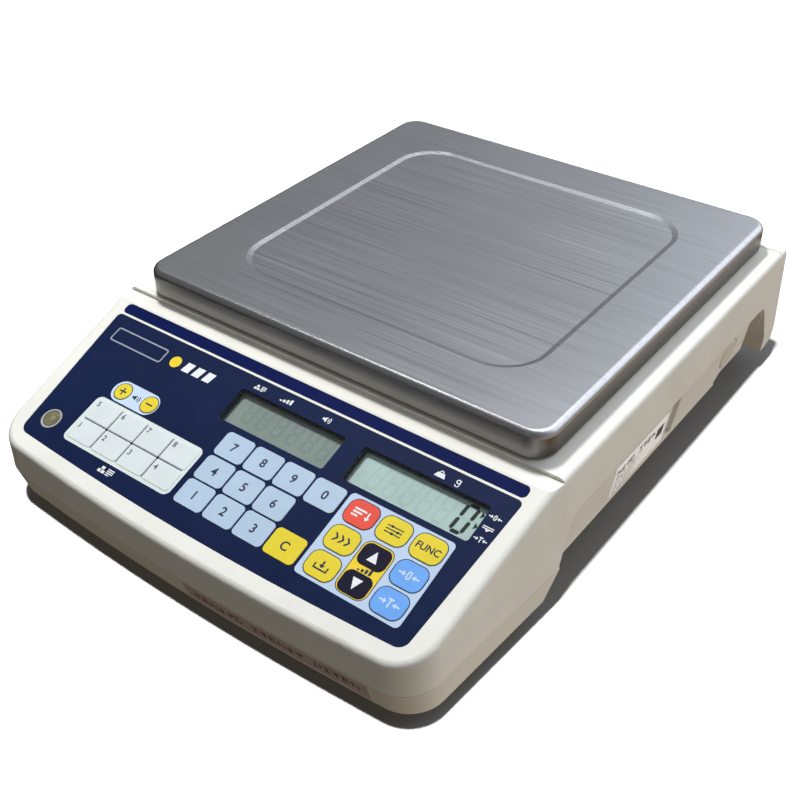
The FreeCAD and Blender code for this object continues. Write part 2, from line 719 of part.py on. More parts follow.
def keypad_overlay():
    sheet = prism_xy(panel_corners(0.0), OVERLAY_BOTTOM, OVERLAY_TOP)
    cuts = []
    for x, s, width, height, radius in KEYS.values():
        opening = pad(width + 2 * KEY_GAP, height + 2 * KEY_GAP, radius + KEY_GAP, x, s, -3.0, 2.0)
        cuts.append(opening)
    for lcd in LCDS:
        cuts.append(lcd_pad(lcd, 0.0, -3.0, 2.0))
    cuts.append(rod(LEVEL_RADIUS + 0.1, 5.0, vec(LEVEL[0], LEVEL[1], -3.0)))
    width, height, radius, s = STRIPE
    stripe = pad(width, height, radius, 0.0, s, -STRIPE_DEPTH, OVERLAY_TOP)
    return on_panel(Part.makeCompound([sheet.cut(Part.makeCompound(cuts)), stripe]))


def keypad_switch_layer():
    sheet = prism_xy(panel_corners(-0.3), -RECESS_DEPTH, OVERLAY_BOTTOM)
    cuts = [lcd_pad(lcd, 1.8, -3.0, 2.0) for lcd in LCDS]
    cuts.append(rod(LEVEL_RADIUS + 0.1, 5.0, vec(LEVEL[0], LEVEL[1], -3.0)))
    return on_panel(sheet.cut(Part.makeCompound(cuts)))


def key_cap(x, s, width, height, radius):
    cap = pad(width, height, radius, x, s, KEY_BOTTOM, KEY_TOP)
    rim = [e for e in cap.Edges if abs(e.CenterOfMass.z - KEY_TOP) < 0.001]
    return on_panel(cap.makeFillet(0.18, rim))


def level_gauge():
    x, s = LEVEL
    body = rod(LEVEL_RADIUS, 8.0, vec(x, s, -8.3))
    flange = rod(8.0, 1.5, vec(x, s, -5.5))
    dish = rod(LEVEL_RADIUS - 0.9, 1.0, vec(x, s, -0.8))
    return on_panel(body.fuse(flange).cut(dish))


def speaker():
    x, y = SPEAKER
    ring = rod(SPEAKER_RADIUS, 2.5, vec(x, y, SPEAKER_SEAT_Z))
    basket = Part.makeCone(SPEAKER_RADIUS, 10.0, 8.0, vec(x, y, SPEAKER_SEAT_Z + 2.5))
    magnet = rod(11.0, 4.0, vec(x, y, SPEAKER_SEAT_Z + 10.5))
    return fuse([ring, basket, magnet])


# ---- sub-parts: rear connections ----
def power_switch_frame():
    flange = block(SWITCH_X - 7.4, SWITCH_X + 7.4, BAY_FLOOR_Y, 172.0, SWITCH_Z - 10.4, SWITCH_Z + 10.2)
    body = block(SWITCH_X - 6.1, SWITCH_X + 6.1, 156.0, 171.0, SWITCH_Z - 9.1, SWITCH_Z + 9.1)
    hollow = block(SWITCH_X - 4.8, SWITCH_X + 4.8, 162.0, 173.0, SWITCH_Z - 7.4, SWITCH_Z + 7.4)
    blades = []
    for z in (SWITCH_Z - 5.0, SWITCH_Z + 5.0):
        blades.append(block(SWITCH_X - 2.4, SWITCH_X + 2.4, 149.0, 156.5, z - 0.4, z + 0.4))
    return fuse([flange, body] + blades).cut(hollow)


ROCKER_PIVOT_Y = 170.0
ROCKER_TILT = 8.0


def power_rocker():
    radius = 7.0
    drum = rod(radius, 9.0, vec(SWITCH_X - 4.5, ROCKER_PIVOT_Y, SWITCH_Z), X_AXIS)
    drum = drum.common(block(SWITCH_X - 6, SWITCH_X + 6, ROCKER_PIVOT_Y - 3.0, 180.0, 0.0, 80.0))
    slope = math.tan(math.radians(ROCKER_TILT))
    dish = [
        (ROCKER_PIVOT_Y + 1.8, SWITCH_Z, 0.0),
        (ROCKER_PIVOT_Y + 1.8 + slope * 10, SWITCH_Z - 10, 0.0),
        (ROCKER_PIVOT_Y + 12.0, SWITCH_Z - 10, 0.0),
        (ROCKER_PIVOT_Y + 12.0, SWITCH_Z + 10, 0.0),
        (ROCKER_PIVOT_Y + 1.8 + slope * 10, SWITCH_Z + 10, 0.0),
    ]
    rocker = drum.cut(prism_yz(dish, SWITCH_X - 8, SWITCH_X + 8))
    rocker.rotate(vec(SWITCH_X, ROCKER_PIVOT_Y, SWITCH_Z), X_AXIS, ROCKER_TILT)
    return rocker


def dc_jack():
    body = block(JACK_X - 7.0, JACK_X + 7.0, 154.0, BAY_BACK_Y, JACK_Z - 5.5, JACK_Z + 5.5)
    barrel = rod(JACK_BARREL_RADIUS, 3.4, vec(JACK_X, 167.0, JACK_Z), Y_AXIS)
    socket = rod(3.0, 11.0, vec(JACK_X, 162.0, JACK_Z), Y_AXIS)
    pin = rod(1.0, 10.0, vec(JACK_X, 161.0, JACK_Z), Y_AXIS)
    return body.fuse(barrel).cut(socket).fuse(pin)


# ---- sub-parts: feet and screws ----
def levelling_foot(x, y):
    pad_body = rod(FOOT_PAD_RADIUS, 5.0, vec(x, y, 0.0))
    pad_body = pad_body.makeFillet(0.8, [e for e in pad_body.Edges if len(e.Vertexes) == 1])
    grips = []
    for index in range(16):
        angle = 2 * math.pi * index / 16
        reach = FOOT_PAD_RADIUS + 0.5
        centre = vec(x + reach * math.cos(angle), y + reach * math.sin(angle), 1.6)
        grips.append(rod(1.2, 5.0, centre))
    stud = rod(FOOT_STUD_RADIUS, 21.0, vec(x, y, 4.0))
    return pad_body.cut(Part.makeCompound(grips)).fuse(stud)


def housing_screws():
    screws = []
    for x, y in SCREW_POINTS:
        seat = 14.0
        shank = rod(1.4, 20.0, vec(x, y, seat))
        head = rod(3.2, 2.2, vec(x, y, seat - 2.2))
        recess = fuse([
            block(x - 1.8, x + 1.8, y - 0.4, y + 0.4, seat - 2.4, seat - 1.2),
            block(x - 0.4, x + 0.4, y - 1.8, y + 1.8, seat - 2.4, seat - 1.2),
        ])
        screws.append(shank.fuse(head).cut(recess))
    for x, y in BOARD_POSTS:
        screws.append(cap_screw(1.0, 7.0, 2.2, 1.6, x, y, BOARD_Z + 1.6))
    return Part.makeCompound(screws)


PARTS = {
    "top_cover": top_cover,
    "bottom_base": bottom_base,
    "side_plug": side_plug,
    "labels": labels,
    "weighing_pan": weighing_pan,
    "pan_carrier": pan_carrier,
    "pan_cushions": pan_cushions,
    "load_cell": load_cell,
    "load_cell_mount": load_cell_mount,
    "load_cell_post": load_cell_post,
    "load_cell_bolts": load_cell_bolts,
    "carrier_bolts": carrier_bolts,
    "load_cell_cable": load_cell_cable,
    "main_board": main_board,
    "display_board": display_board,
    "display_windows": display_windows,
    "keypad_overlay": keypad_overlay,
    "keypad_switch_layer": keypad_switch_layer,
    "level_gauge": level_gauge,
    "speaker": speaker,
    "power_switch_frame": power_switch_frame,
    "power_rocker": power_rocker,
    "dc_jack": dc_jack,
    "housing_screws": housing_screws,
}

for part_name, maker in PARTS.items():
    save(part_name, maker())

save("small_lcd", lcd_module(SMALL_LCD))
save("large_lcd", lcd_module(LARGE_LCD))

for key_name, key in KEYS.items():
    save(key_name, key_cap(*key))

for end_name, foot_y in zip(("front", "rear"), FOOT_Y):
    for side_name, foot_x in (("left", -FOOT_X), ("right", FOOT_X)):
        save("foot_%s_%s" % (end_name, side_name), levelling_foot(foot_x, foot_y))
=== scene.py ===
import math

import bmesh
import bpy
from mathutils import Matrix, Vector
from mathutils.bvhtree import BVHTree


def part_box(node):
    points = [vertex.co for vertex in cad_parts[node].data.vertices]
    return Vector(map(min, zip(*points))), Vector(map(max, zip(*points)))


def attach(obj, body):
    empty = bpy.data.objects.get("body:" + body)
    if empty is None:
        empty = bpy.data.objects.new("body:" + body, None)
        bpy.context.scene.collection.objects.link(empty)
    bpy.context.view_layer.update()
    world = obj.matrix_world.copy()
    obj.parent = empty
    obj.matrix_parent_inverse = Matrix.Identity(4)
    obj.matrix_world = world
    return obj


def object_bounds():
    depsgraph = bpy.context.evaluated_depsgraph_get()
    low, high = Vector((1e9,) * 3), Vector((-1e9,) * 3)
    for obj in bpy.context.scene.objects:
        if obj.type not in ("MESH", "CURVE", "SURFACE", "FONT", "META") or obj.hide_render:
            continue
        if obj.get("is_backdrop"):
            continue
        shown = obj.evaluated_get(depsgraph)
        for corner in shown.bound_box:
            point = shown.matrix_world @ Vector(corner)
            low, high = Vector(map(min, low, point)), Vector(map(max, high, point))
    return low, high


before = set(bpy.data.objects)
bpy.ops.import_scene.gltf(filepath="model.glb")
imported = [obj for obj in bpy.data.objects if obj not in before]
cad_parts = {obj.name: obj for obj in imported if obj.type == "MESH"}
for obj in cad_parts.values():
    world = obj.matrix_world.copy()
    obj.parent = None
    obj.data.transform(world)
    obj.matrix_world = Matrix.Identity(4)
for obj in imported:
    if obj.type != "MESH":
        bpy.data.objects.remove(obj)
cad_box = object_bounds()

MM = 0.001

# ---- the control panel's own frame: x across, s up the slope, n outwards, all in millimetres ----
PANEL_FOOT = Vector((0.0, -0.16615, 0.0435))
PANEL_SLOPE = math.radians(18.5)
PANEL = Matrix.Translation(PANEL_FOOT) @ Matrix.Rotation(PANEL_SLOPE, 4, "X") @ Matrix.Scale(MM, 4)
PANEL_INVERSE = PANEL.inverted()
SHEET_TOP = -0.05
KEY_TOP = 0.2
KEY_UNDERSIDE = -0.55
GLASS_TOP = -4.0
INK = 0.03
TEXT_DEPTH = 0.05
TEXT_BOLDNESS = 0.020


# ---- materials ----
def new_material(name):
    material = bpy.data.materials.new(name)
    material.use_nodes = True
    tree = material.node_tree
    shader = tree.nodes["Principled BSDF"]
    place = tree.nodes.new("ShaderNodeTexCoord")
    return material, tree, shader, place.outputs["Object"]


def stretched(tree, vector, scale):
    mapping = tree.nodes.new("ShaderNodeMapping")
    mapping.inputs["Scale"].default_value = scale
    tree.links.new(vector, mapping.inputs["Vector"])
    return mapping.outputs["Vector"]


def noise(tree, vector, scale, detail=3.0):
    node = tree.nodes.new("ShaderNodeTexNoise")
    node.inputs["Scale"].default_value = scale
    node.inputs["Detail"].default_value = detail
    tree.links.new(vector, node.inputs["Vector"])
    return node.outputs["Fac"]


def remap(tree, value, low, high, start=0.3, end=0.7):
    node = tree.nodes.new("ShaderNodeMapRange")
    node.inputs["From Min"].default_value = start
    node.inputs["From Max"].default_value = end
    node.inputs["To Min"].default_value = low
    node.inputs["To Max"].default_value = high
    tree.links.new(value, node.inputs["Value"])
    return node.outputs["Result"]


def blend_colours(tree, factor, first, second):
    node = tree.nodes.new("ShaderNodeMix")
    node.data_type = "RGBA"
    tree.links.new(factor, node.inputs["Factor"])
    for socket, colour in ((node.inputs["A"], first), (node.inputs["B"], second)):
        if isinstance(colour, bpy.types.NodeSocket):
            tree.links.new(colour, socket)
        else:
            socket.default_value = (*colour, 1.0)
    return node.outputs["Result"]


def relief(tree, shader, heights):
    """heights: (value, depth in metres) from coarse to fine, one bump on top of the other."""
    normal = None
    for value, depth in heights:
        bump = tree.nodes.new("ShaderNodeBump")
        bump.inputs["Strength"].default_value = 1.0
        bump.inputs["Distance"].default_value = depth
        tree.links.new(value, bump.inputs["Height"])
        if normal is not None:
            tree.links.new(normal, bump.inputs["Normal"])
        normal = bump.outputs["Normal"]
    tree.links.new(normal, shader.inputs["Normal"])


def shade(colour, factor):
    return tuple(min(1.0, channel * factor) for channel in colour)


def finish_material(
    name, colour, roughness, metallic=0.0, mottle=(35.0, 0.04), grain=(1800.0, 8e-6), polish=0.05,
    stretch=(1.0, 1.0, 1.0), wear=None, specular=0.5,
):
    """A surface that varies in colour, gloss and relief: mottle is (scale, share), grain (scale, depth)."""
    material, tree, shader, place = new_material(name)
    vector = stretched(tree, place, stretch)
    scale, share = mottle
    cloud = remap(tree, noise(tree, vector, scale), 0.0, 1.0)
    tone = blend_colours(tree, cloud, shade(colour, 1.0 - share), shade(colour, 1.0 + share))
    if wear is not None:
        edge = tree.nodes.new("ShaderNodeNewGeometry").outputs["Pointiness"]
        worn = remap(tree, edge, 0.0, 0.55, 0.52, 0.62)
        tone = blend_colours(tree, worn, tone, wear)
    tree.links.new(tone, shader.inputs["Base Color"])
    gloss = remap(tree, noise(tree, vector, scale * 4.0), roughness - polish, roughness + polish)
    tree.links.new(gloss, shader.inputs["Roughness"])
    shader.inputs["Metallic"].default_value = metallic
    shader.inputs["Specular IOR Level"].default_value = specular
    scale, depth = grain
    fine = noise(tree, vector, scale, 2.0)
    coarse = noise(tree, vector, scale * 0.15, 2.0)
    relief(tree, shader, [(coarse, depth * 1.5), (fine, depth)])
    return material


def brushed_steel(name, colour, skirt_reflection):
    """Sheet brushed along X: fine scratches over a slow waviness. The third argument is a painted dark
    reflection of the shaded deck on its hanging sides, (front, right-hand).
    """
    material, tree, shader, place = new_material(name)
    lines = noise(tree, stretched(tree, place, (9.0, 1500.0, 1500.0)), 1.0, 4.0)
    bands = noise(tree, stretched(tree, place, (5.0, 520.0, 520.0)), 1.0, 3.0)
    clouds = noise(tree, place, 7.0, 2.0)
    tone = blend_colours(tree, remap(tree, lines, 0.0, 1.0), shade(colour, 0.80), shade(colour, 1.13))
    tone = blend_colours(tree, remap(tree, bands, 0.0, 0.5), tone, shade(colour, 1.22))
    axes = tree.nodes.new("ShaderNodeSeparateXYZ")
    tree.links.new(place, axes.inputs["Vector"])
    # painted reflection: the skirt is drawn darker at the front, and darker and browner on the right-hand
    # side, as if reflecting the shaded deck beside it
    reflected_shade = blend_colours(tree, remap(tree, axes.outputs["X"], 0.0, 1.0, *SIDE_REFLECTION_FADE), *skirt_reflection)
    tone = blend_colours(tree, remap(tree, axes.outputs["Z"], 0.0, 1.0, *SKIRT_REFLECTION_FADE), reflected_shade, tone)
    tree.links.new(tone, shader.inputs["Base Color"])
    gloss = tree.nodes.new("ShaderNodeMath")
    gloss.operation = "ADD"
    tree.links.new(remap(tree, lines, 0.25, 0.33), gloss.inputs[0])
    tree.links.new(remap(tree, clouds, 0.0, 0.05), gloss.inputs[1])
    tree.links.new(gloss.outputs["Value"], shader.inputs["Roughness"])
    shader.inputs["Metallic"].default_value = 1.0
    relief(tree, shader, [(clouds, 1.2e-5), (bands, 1.0e-6), (lines, 2.5e-6)])
    return material


def clear_sheet(name):
    """Thin hard-coated window: seen straight through, with a surface reflection and faint smears."""
    material, tree, shader, place = new_material(name)
    tree.nodes.remove(shader)
    through = tree.nodes.new("ShaderNodeBsdfTransparent")
    through.inputs["Color"].default_value = (0.98, 0.99, 0.985, 1.0)
    mirror = tree.nodes.new("ShaderNodeBsdfGlossy")
    smear = remap(tree, noise(tree, place, 60.0), 0.03, 0.10)
    tree.links.new(smear, mirror.inputs["Roughness"])
    fresnel = tree.nodes.new("ShaderNodeFresnel")
    fresnel.inputs["IOR"].default_value = 1.35
    both = tree.nodes.new("ShaderNodeMixShader")
    tree.links.new(fresnel.outputs["Fac"], both.inputs["Fac"])
    tree.links.new(through.outputs["BSDF"], both.inputs[1])
    tree.links.new(mirror.outputs["BSDF"], both.inputs[2])
    tree.links.new(both.outputs["Shader"], tree.nodes["Material Output"].inputs["Surface"])
    return material


def display_glass(name, colour):
    """Reflective liquid-crystal cell: a grey-green ground with a fine shimmer."""
    material, tree, shader, place = new_material(name)
    ground = remap(tree, noise(tree, place, 45.0), 0.0, 1.0)
    tone = blend_colours(tree, ground, shade(colour, 0.93), shade(colour, 1.05))
    tree.links.new(tone, shader.inputs["Base Color"])
    sparkle = noise(tree, place, 5000.0, 1.0)
    tree.links.new(remap(tree, sparkle, 0.28, 0.40), shader.inputs["Roughness"])
    shader.inputs["Coat Weight"].default_value = 0.25
    relief(tree, shader, [(sparkle, 3e-6)])
    return material


def sticker_paper(name, front, side):
    """Two stickers of one paper: the front one tinted, the one on the right-hand wall nearly white and given
    a faint glow, painted light that brightens it in its shaded recess.
    """
    material, tree, shader, place = new_material(name)
    axes = tree.nodes.new("ShaderNodeSeparateXYZ")
    tree.links.new(place, axes.inputs["Vector"])
    which = remap(tree, axes.outputs["Y"], 0.0, 1.0, -0.15, -0.10)
    paper = blend_colours(tree, which, front, side)
    fibre = remap(tree, noise(tree, place, 700.0), 0.0, 0.10)
    tree.links.new(blend_colours(tree, fibre, paper, shade(front, 0.6)), shader.inputs["Base Color"])
    # painted light: the sticker on the right-hand wall glows faintly, to stay bright in the shade of its
    # recess
    shader.inputs["Emission Color"].default_value = (1.0, 1.0, 1.0, 1.0)
    tree.links.new(remap(tree, which, 0.0, 0.22, 0.0, 1.0), shader.inputs["Emission Strength"])
    tree.links.new(remap(tree, noise(tree, place, 90.0), 0.30, 0.45), shader.inputs["Roughness"])
    relief(tree, shader, [(noise(tree, place, 3000.0), 3e-6)])
    return material


# heights between which the pan's skirt turns into its top, and widths between which its front turns
# into its right-hand side, in metres; below and beside them the steel is painted dark as a reflection of the
# shaded deck
SKIRT_REFLECTION_FADE = (0.0862, 0.0874)
SIDE_REFLECTION_FADE = (0.1195, 0.1235)
CREAM = (0.81, 0.81, 0.755)
CREAM_BASE = (0.79, 0.77, 0.68)
CREAM_EDGE = (0.90, 0.89, 0.83)
STEEL = (0.42, 0.43, 0.45)
# painted dark reflection of the shaded deck on the pan's skirt, (front, right-hand)
STEEL_SKIRT_REFLECTION = ((0.22, 0.215, 0.205), (0.105, 0.085, 0.068))
OVERLAY_GRAIN = (2600.0, 6e-6)
SILK_GRAIN = (2600.0, 3e-6)
FINE_GRAIN = (3000.0, 2e-6)
SEGMENT_GRAIN = (3000.0, 1e-6)


def key_material(name, colour, share=0.03):
    return finish_material(name, colour, 0.38, mottle=(90.0, share), grain=OVERLAY_GRAIN)


MATERIALS = {
    "cover_plastic": finish_material("cover_plastic", CREAM, 0.42, grain=(1600.0, 1.2e-5), wear=CREAM_EDGE),
    "base_plastic": finish_material(
        "base_plastic", CREAM_BASE, 0.48, grain=(1400.0, 1.6e-5), wear=CREAM_EDGE,
    ),
    "plug_cream": finish_material("plug_cream", (0.72, 0.70, 0.60), 0.5, mottle=(120.0, 0.05)),
    "pan_steel": brushed_steel("pan_steel", STEEL, STEEL_SKIRT_REFLECTION),
    "cast_aluminium": finish_material(
        "cast_aluminium", (0.50, 0.51, 0.52), 0.55, metallic=1.0, mottle=(60.0, 0.12),
        grain=(900.0, 6e-5), wear=(0.72, 0.73, 0.74),
    ),
    "cell_aluminium": finish_material(
        "cell_aluminium", (0.70, 0.71, 0.73), 0.32, metallic=1.0, mottle=(1.0, 0.06),
        grain=(40.0, 6e-6), stretch=(20.0, 4.0, 20.0),
    ),
    "fastener_steel": finish_material(
        "fastener_steel", (0.58, 0.58, 0.57), 0.34, metallic=1.0, mottle=(400.0, 0.15), grain=(2500.0, 1e-5),
    ),
    "rubber_black": finish_material(
        "rubber_black", (0.022, 0.022, 0.024), 0.72, mottle=(150.0, 0.35), grain=(1200.0, 4e-5),
    ),
    "label_paper": sticker_paper("label_paper", (0.62, 0.50, 0.49), (0.97, 0.96, 0.97)),
    "overlay_navy": finish_material(
        "overlay_navy", (0.0035, 0.0115, 0.054), 0.42, mottle=(25.0, 0.08), grain=OVERLAY_GRAIN,
        polish=0.06, specular=0.22,
    ),
    "switch_film": finish_material(
        "switch_film", (0.05, 0.055, 0.075), 0.5, mottle=(90.0, 0.1), grain=(2000.0, 6e-6),
    ),
    "key_blue": key_material("key_blue", (0.43, 0.56, 0.71)),
    "key_white": key_material("key_white", (0.67, 0.73, 0.74)),
    "key_yellow": key_material("key_yellow", (0.76, 0.62, 0.036)),
    "key_red": key_material("key_red", (0.77, 0.085, 0.050), 0.04),
    "key_azure": key_material("key_azure", (0.15, 0.38, 0.86), 0.04),
    "key_black": finish_material(
        "key_black", (0.009, 0.009, 0.026), 0.40, mottle=(90.0, 0.1), grain=OVERLAY_GRAIN, specular=0.25,
    ),
    "clear_window": clear_sheet("clear_window"),
    "lcd_glass": display_glass("lcd_glass", (0.42, 0.50, 0.42)),
    "vial_green": finish_material(
        "vial_green", (0.42, 0.43, 0.42), 0.3, mottle=(200.0, 0.08), grain=(2500.0, 5e-6),
    ),
    "board_green": finish_material(
        "board_green", (0.018, 0.16, 0.055), 0.35, mottle=(500.0, 0.35), grain=(900.0, 2e-5),
    ),
    "black_plastic": finish_material(
        "black_plastic", (0.018, 0.018, 0.020), 0.42, mottle=(80.0, 0.2), grain=(1500.0, 1.5e-5),
    ),
    "cable_grey": finish_material(
        "cable_grey", (0.24, 0.24, 0.25), 0.6, mottle=(200.0, 0.1), grain=(1500.0, 1.5e-5),
    ),
}
SMALL_GLASS = display_glass("small_lcd_glass", (0.315, 0.38, 0.365))
LARGE_GLASS = display_glass("large_lcd_glass", (0.585, 0.75, 0.73))

INK_LOOKS = {
    "ink_white": ((0.80, 0.82, 0.84), 0.45, (300.0, 0.05), FINE_GRAIN),
    "ink_pale": ((0.56, 0.69, 0.86), 0.42, (90.0, 0.03), SILK_GRAIN),
    "ink_block": ((0.50, 0.62, 0.80), 0.38, (60.0, 0.03), SILK_GRAIN),
    "ink_cells": ((0.68, 0.75, 0.73), 0.40, (60.0, 0.03), SILK_GRAIN),
    "ink_yellow": ((0.85, 0.63, 0.03), 0.40, (90.0, 0.03), SILK_GRAIN),
    "ink_dark": ((0.035, 0.045, 0.085), 0.45, (300.0, 0.15), FINE_GRAIN),
    "ink_numeral": ((0.024, 0.032, 0.060), 0.45, (300.0, 0.15), FINE_GRAIN),
    "ink_preset": ((0.085, 0.10, 0.135), 0.45, (300.0, 0.1), FINE_GRAIN),
    "ink_grey": ((0.30, 0.34, 0.40), 0.45, (300.0, 0.1), FINE_GRAIN),
    "segment_lit": ((0.018, 0.035, 0.028), 0.4, (400.0, 0.2), SEGMENT_GRAIN),
    "segment_ghost_small": ((0.26, 0.32, 0.305), 0.35, (45.0, 0.06), SEGMENT_GRAIN),
    "segment_ghost_large": ((0.52, 0.68, 0.66), 0.35, (45.0, 0.06), SEGMENT_GRAIN),
    "label_ink": ((0.07, 0.06, 0.075), 0.5, (500.0, 0.3), FINE_GRAIN),
}
INKS = {
    name: finish_material(name, colour, roughness, mottle=mottle, grain=grain)
    for name, (colour, roughness, mottle, grain) in INK_LOOKS.items()
}
INKS["ink_stripe"] = finish_material(
    "ink_stripe", (0.0015, 0.0075, 0.074), 0.42, mottle=(25.0, 0.1), grain=OVERLAY_GRAIN, specular=0.12,
)

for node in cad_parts.values():
    for material_slot in node.material_slots:
        material_slot.material = MATERIALS[material_slot.material.name.split(".")[0]]
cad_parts["small_lcd"].material_slots[0].material = SMALL_GLASS
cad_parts["large_lcd"].material_slots[0].material = LARGE_GLASS


# ---- flat printed shapes ----
def add_piece(name, mesh, material, body, place=PANEL):
    for polygon in mesh.polygons:
        polygon.use_smooth = False
    mesh.materials.clear()
    mesh.materials.append(material)
    mesh.transform(place)
    piece = bpy.data.objects.new(name, mesh)
    bpy.context.scene.collection.objects.link(piece)
    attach(piece, body)
    return piece


def rounded(x, s, width, height, radius, steps=7):
    """Outline of a rounded rectangle centred on (x, s)."""
    outline = []
    radius = min(radius, width / 2, height / 2)
    for quarter, (sx, ss) in enumerate(((1, 1), (-1, 1), (-1, -1), (1, -1))):
        cx = x + sx * (width / 2 - radius)
        cs = s + ss * (height / 2 - radius)
        for step in range(steps + 1):
            angle = math.pi / 2 * (quarter + step / steps)
            outline.append((cx + radius * math.cos(angle), cs + radius * math.sin(angle)))
    return outline


def spanning(x0, x1, s0, s1, radius):
    return rounded((x0 + x1) / 2, (s0 + s1) / 2, x1 - x0, s1 - s0, radius)


def circle(x, s, radius, steps=40):
    return [
        (x + radius * math.cos(2 * math.pi * i / steps), s + radius * math.sin(2 * math.pi * i / steps))
        for i in range(steps)
    ]


def bar(x, s, width, height):
    return [
        (x - width / 2, s - height / 2), (x + width / 2, s - height / 2),
        (x + width / 2, s + height / 2), (x - width / 2, s + height / 2),
    ]


def stroke(start, end, width):
    """A straight line of that width, as an outline."""
    a, b = Vector(start), Vector(end)
    along = (b - a).normalized() * (width / 2)
    side = Vector((-along.y, along.x))
    return [tuple(a - side), tuple(b - side), tuple(b + side), tuple(a + side)]


def arc_band(x, s, radius, width, start, end, steps=10):
    """Part of a ring, angles in degrees."""
    angles = [math.radians(start + (end - start) * i / steps) for i in range(steps + 1)]
    outer = [(x + (radius + width / 2) * math.cos(a), s + (radius + width / 2) * math.sin(a)) for a in angles]
    inner = [(x + (radius - width / 2) * math.cos(a), s + (radius - width / 2) * math.sin(a)) for a in angles]
    return outer + inner[::-1]


def flat_mesh(outlines, level, thickness=INK):
    """A plate with the outlines' shape and its underside at level. An outline inside another is a hole."""
    curve = bpy.data.curves.new("outline", "CURVE")
    curve.dimensions = "2D"
    curve.fill_mode = "BOTH"
    curve.extrude = thickness / 2
    for outline in outlines:
        spline = curve.splines.new("POLY")
        spline.points.add(len(outline) - 1)
        for point, (x, s) in zip(spline.points, outline):
            point.co = (x, s, 0.0, 1.0)
        spline.use_cyclic_u = True
    holder = bpy.data.objects.new("outline", curve)
    bpy.context.scene.collection.objects.link(holder)
    bpy.context.view_layer.update()
    mesh = bpy.data.meshes.new_from_object(holder.evaluated_get(bpy.context.evaluated_depsgraph_get()))
    bpy.data.objects.remove(holder)
    bpy.data.curves.remove(curve)
    mesh.transform(Matrix.Translation((0.0, 0.0, level + thickness / 2)))
    return welded(mesh)


def welded(mesh):
    shape = bmesh.new()
    shape.from_mesh(mesh)
    bmesh.ops.remove_doubles(shape, verts=shape.verts, dist=1e-5)
    bmesh.ops.recalc_face_normals(shape, faces=shape.faces)
    shape.to_mesh(mesh)
    shape.free()
    return mesh


def merged(meshes):
    shape = bmesh.new()
    for mesh in meshes:
        shape.from_mesh(mesh)
    result = bpy.data.meshes.new("merged")
    shape.to_mesh(result)
    shape.free()
    return result


def text_mesh(text, x, s, height, level):
    """Plain numerals or letters centred on (x, s), with that overall height."""
    curve = bpy.data.curves.new("text", "FONT")
    curve.body = text
    curve.extrude = TEXT_DEPTH
    curve.offset = TEXT_BOLDNESS
    holder = bpy.data.objects.new("text", curve)
    bpy.context.scene.collection.objects.link(holder)
    bpy.context.view_layer.update()
    mesh = bpy.data.meshes.new_from_object(holder.evaluated_get(bpy.context.evaluated_depsgraph_get()))
    bpy.data.objects.remove(holder)
    bpy.data.curves.remove(curve)
    corners = [v.co for v in mesh.vertices]
    low = Vector([min(c[i] for c in corners) for i in range(3)])
    high = Vector([max(c[i] for c in corners) for i in range(3)])
    size = height / (high.y - low.y)
    middle = (low + high) / 2
    scaled = Matrix.Diagonal((size, size, INK / (high.z - low.z), 1.0))
    mesh.transform(Matrix.Translation((x, s, level + INK / 2)) @ scaled @ Matrix.Translation(-middle))
    return welded(mesh)


def print_on(name, outlines, ink):
    return add_piece(name, flat_mesh(outlines, SHEET_TOP), INKS[ink], "housing")


def print_marks(name, groups, ink, level=SHEET_TOP, body="housing"):
    """groups: outlines that may lie over one another, so each is filled alone."""
    meshes = [flat_mesh([outline], level) for outline in groups]
    return add_piece(name, merged(meshes), INKS[ink], body)


# ---- where the keys are, read from the frame ----
def key_place(node):
    low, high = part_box(node)
    centre = PANEL_INVERSE @ ((low + high) / 2)
    width = (high.x - low.x) / MM
    drop = (KEY_TOP - KEY_UNDERSIDE) * math.sin(PANEL_SLOPE)
    height = ((high.y - low.y) / MM - drop) / math.cos(PANEL_SLOPE)
    return centre.x, centre.y, width, height


FUNCTION_KEYS = ("key_sort", "key_setup", "key_function", "key_easy", "key_zero", "key_store", "key_tare")
RANK_KEYS = ("key_rank_up", "key_rank_down")
VOLUME_KEYS = ("key_volume_up", "key_volume_down")
PRESET_KEYS = tuple(f"key_preset_{i}" for i in range(1, 9))
# corner radii of the kinds of key, the bare gap round each key, and the width of a key's dark outline
CORNER = {"function": 4.4, "rank": 3.6, "preset": 1.6, "volume": 4.55}
GAP = 0.06
OUTLINE = 0.45


def opening(node, corner, grow=GAP):
    x, s, width, height = key_place(node)
    return rounded(x, s, width + 2 * grow, height + 2 * grow, corner + grow)


def outline_ring(node, corner):
    return [opening(node, corner, GAP + OUTLINE), opening(node, corner)]


# ---- printed blocks round the keys ----
FUNCTION_BLOCK = spanning(56.8, 113.4, 7.5, 52.2, 2.4)
CAPSULE = (76.9, 93.7, 9.2, 36.4, 4.6)
capsule_outer = spanning(*CAPSULE)
block_holes = [opening(key, CORNER["function"], GAP + OUTLINE) for key in FUNCTION_KEYS]
print_on("print_function_block", [FUNCTION_BLOCK, capsule_outer] + block_holes, "ink_block")
x0, x1, s0, s1, radius = CAPSULE
capsule_inner = spanning(x0 + OUTLINE, x1 - OUTLINE, s0 + OUTLINE, s1 - OUTLINE, radius - OUTLINE)
rank_holes = [opening(key, CORNER["rank"], GAP) for key in RANK_KEYS]
print_on("print_rank_capsule", [capsule_inner] + rank_holes, "ink_yellow")

VOLUME_PILL = rounded(-77.3, 44.05, 31.2, 12.6, 6.3, 12)
pill_holes = [opening(key, CORNER["volume"], GAP + OUTLINE) for key in VOLUME_KEYS]
print_on("print_volume_pill", [VOLUME_PILL] + pill_holes, "ink_pale")

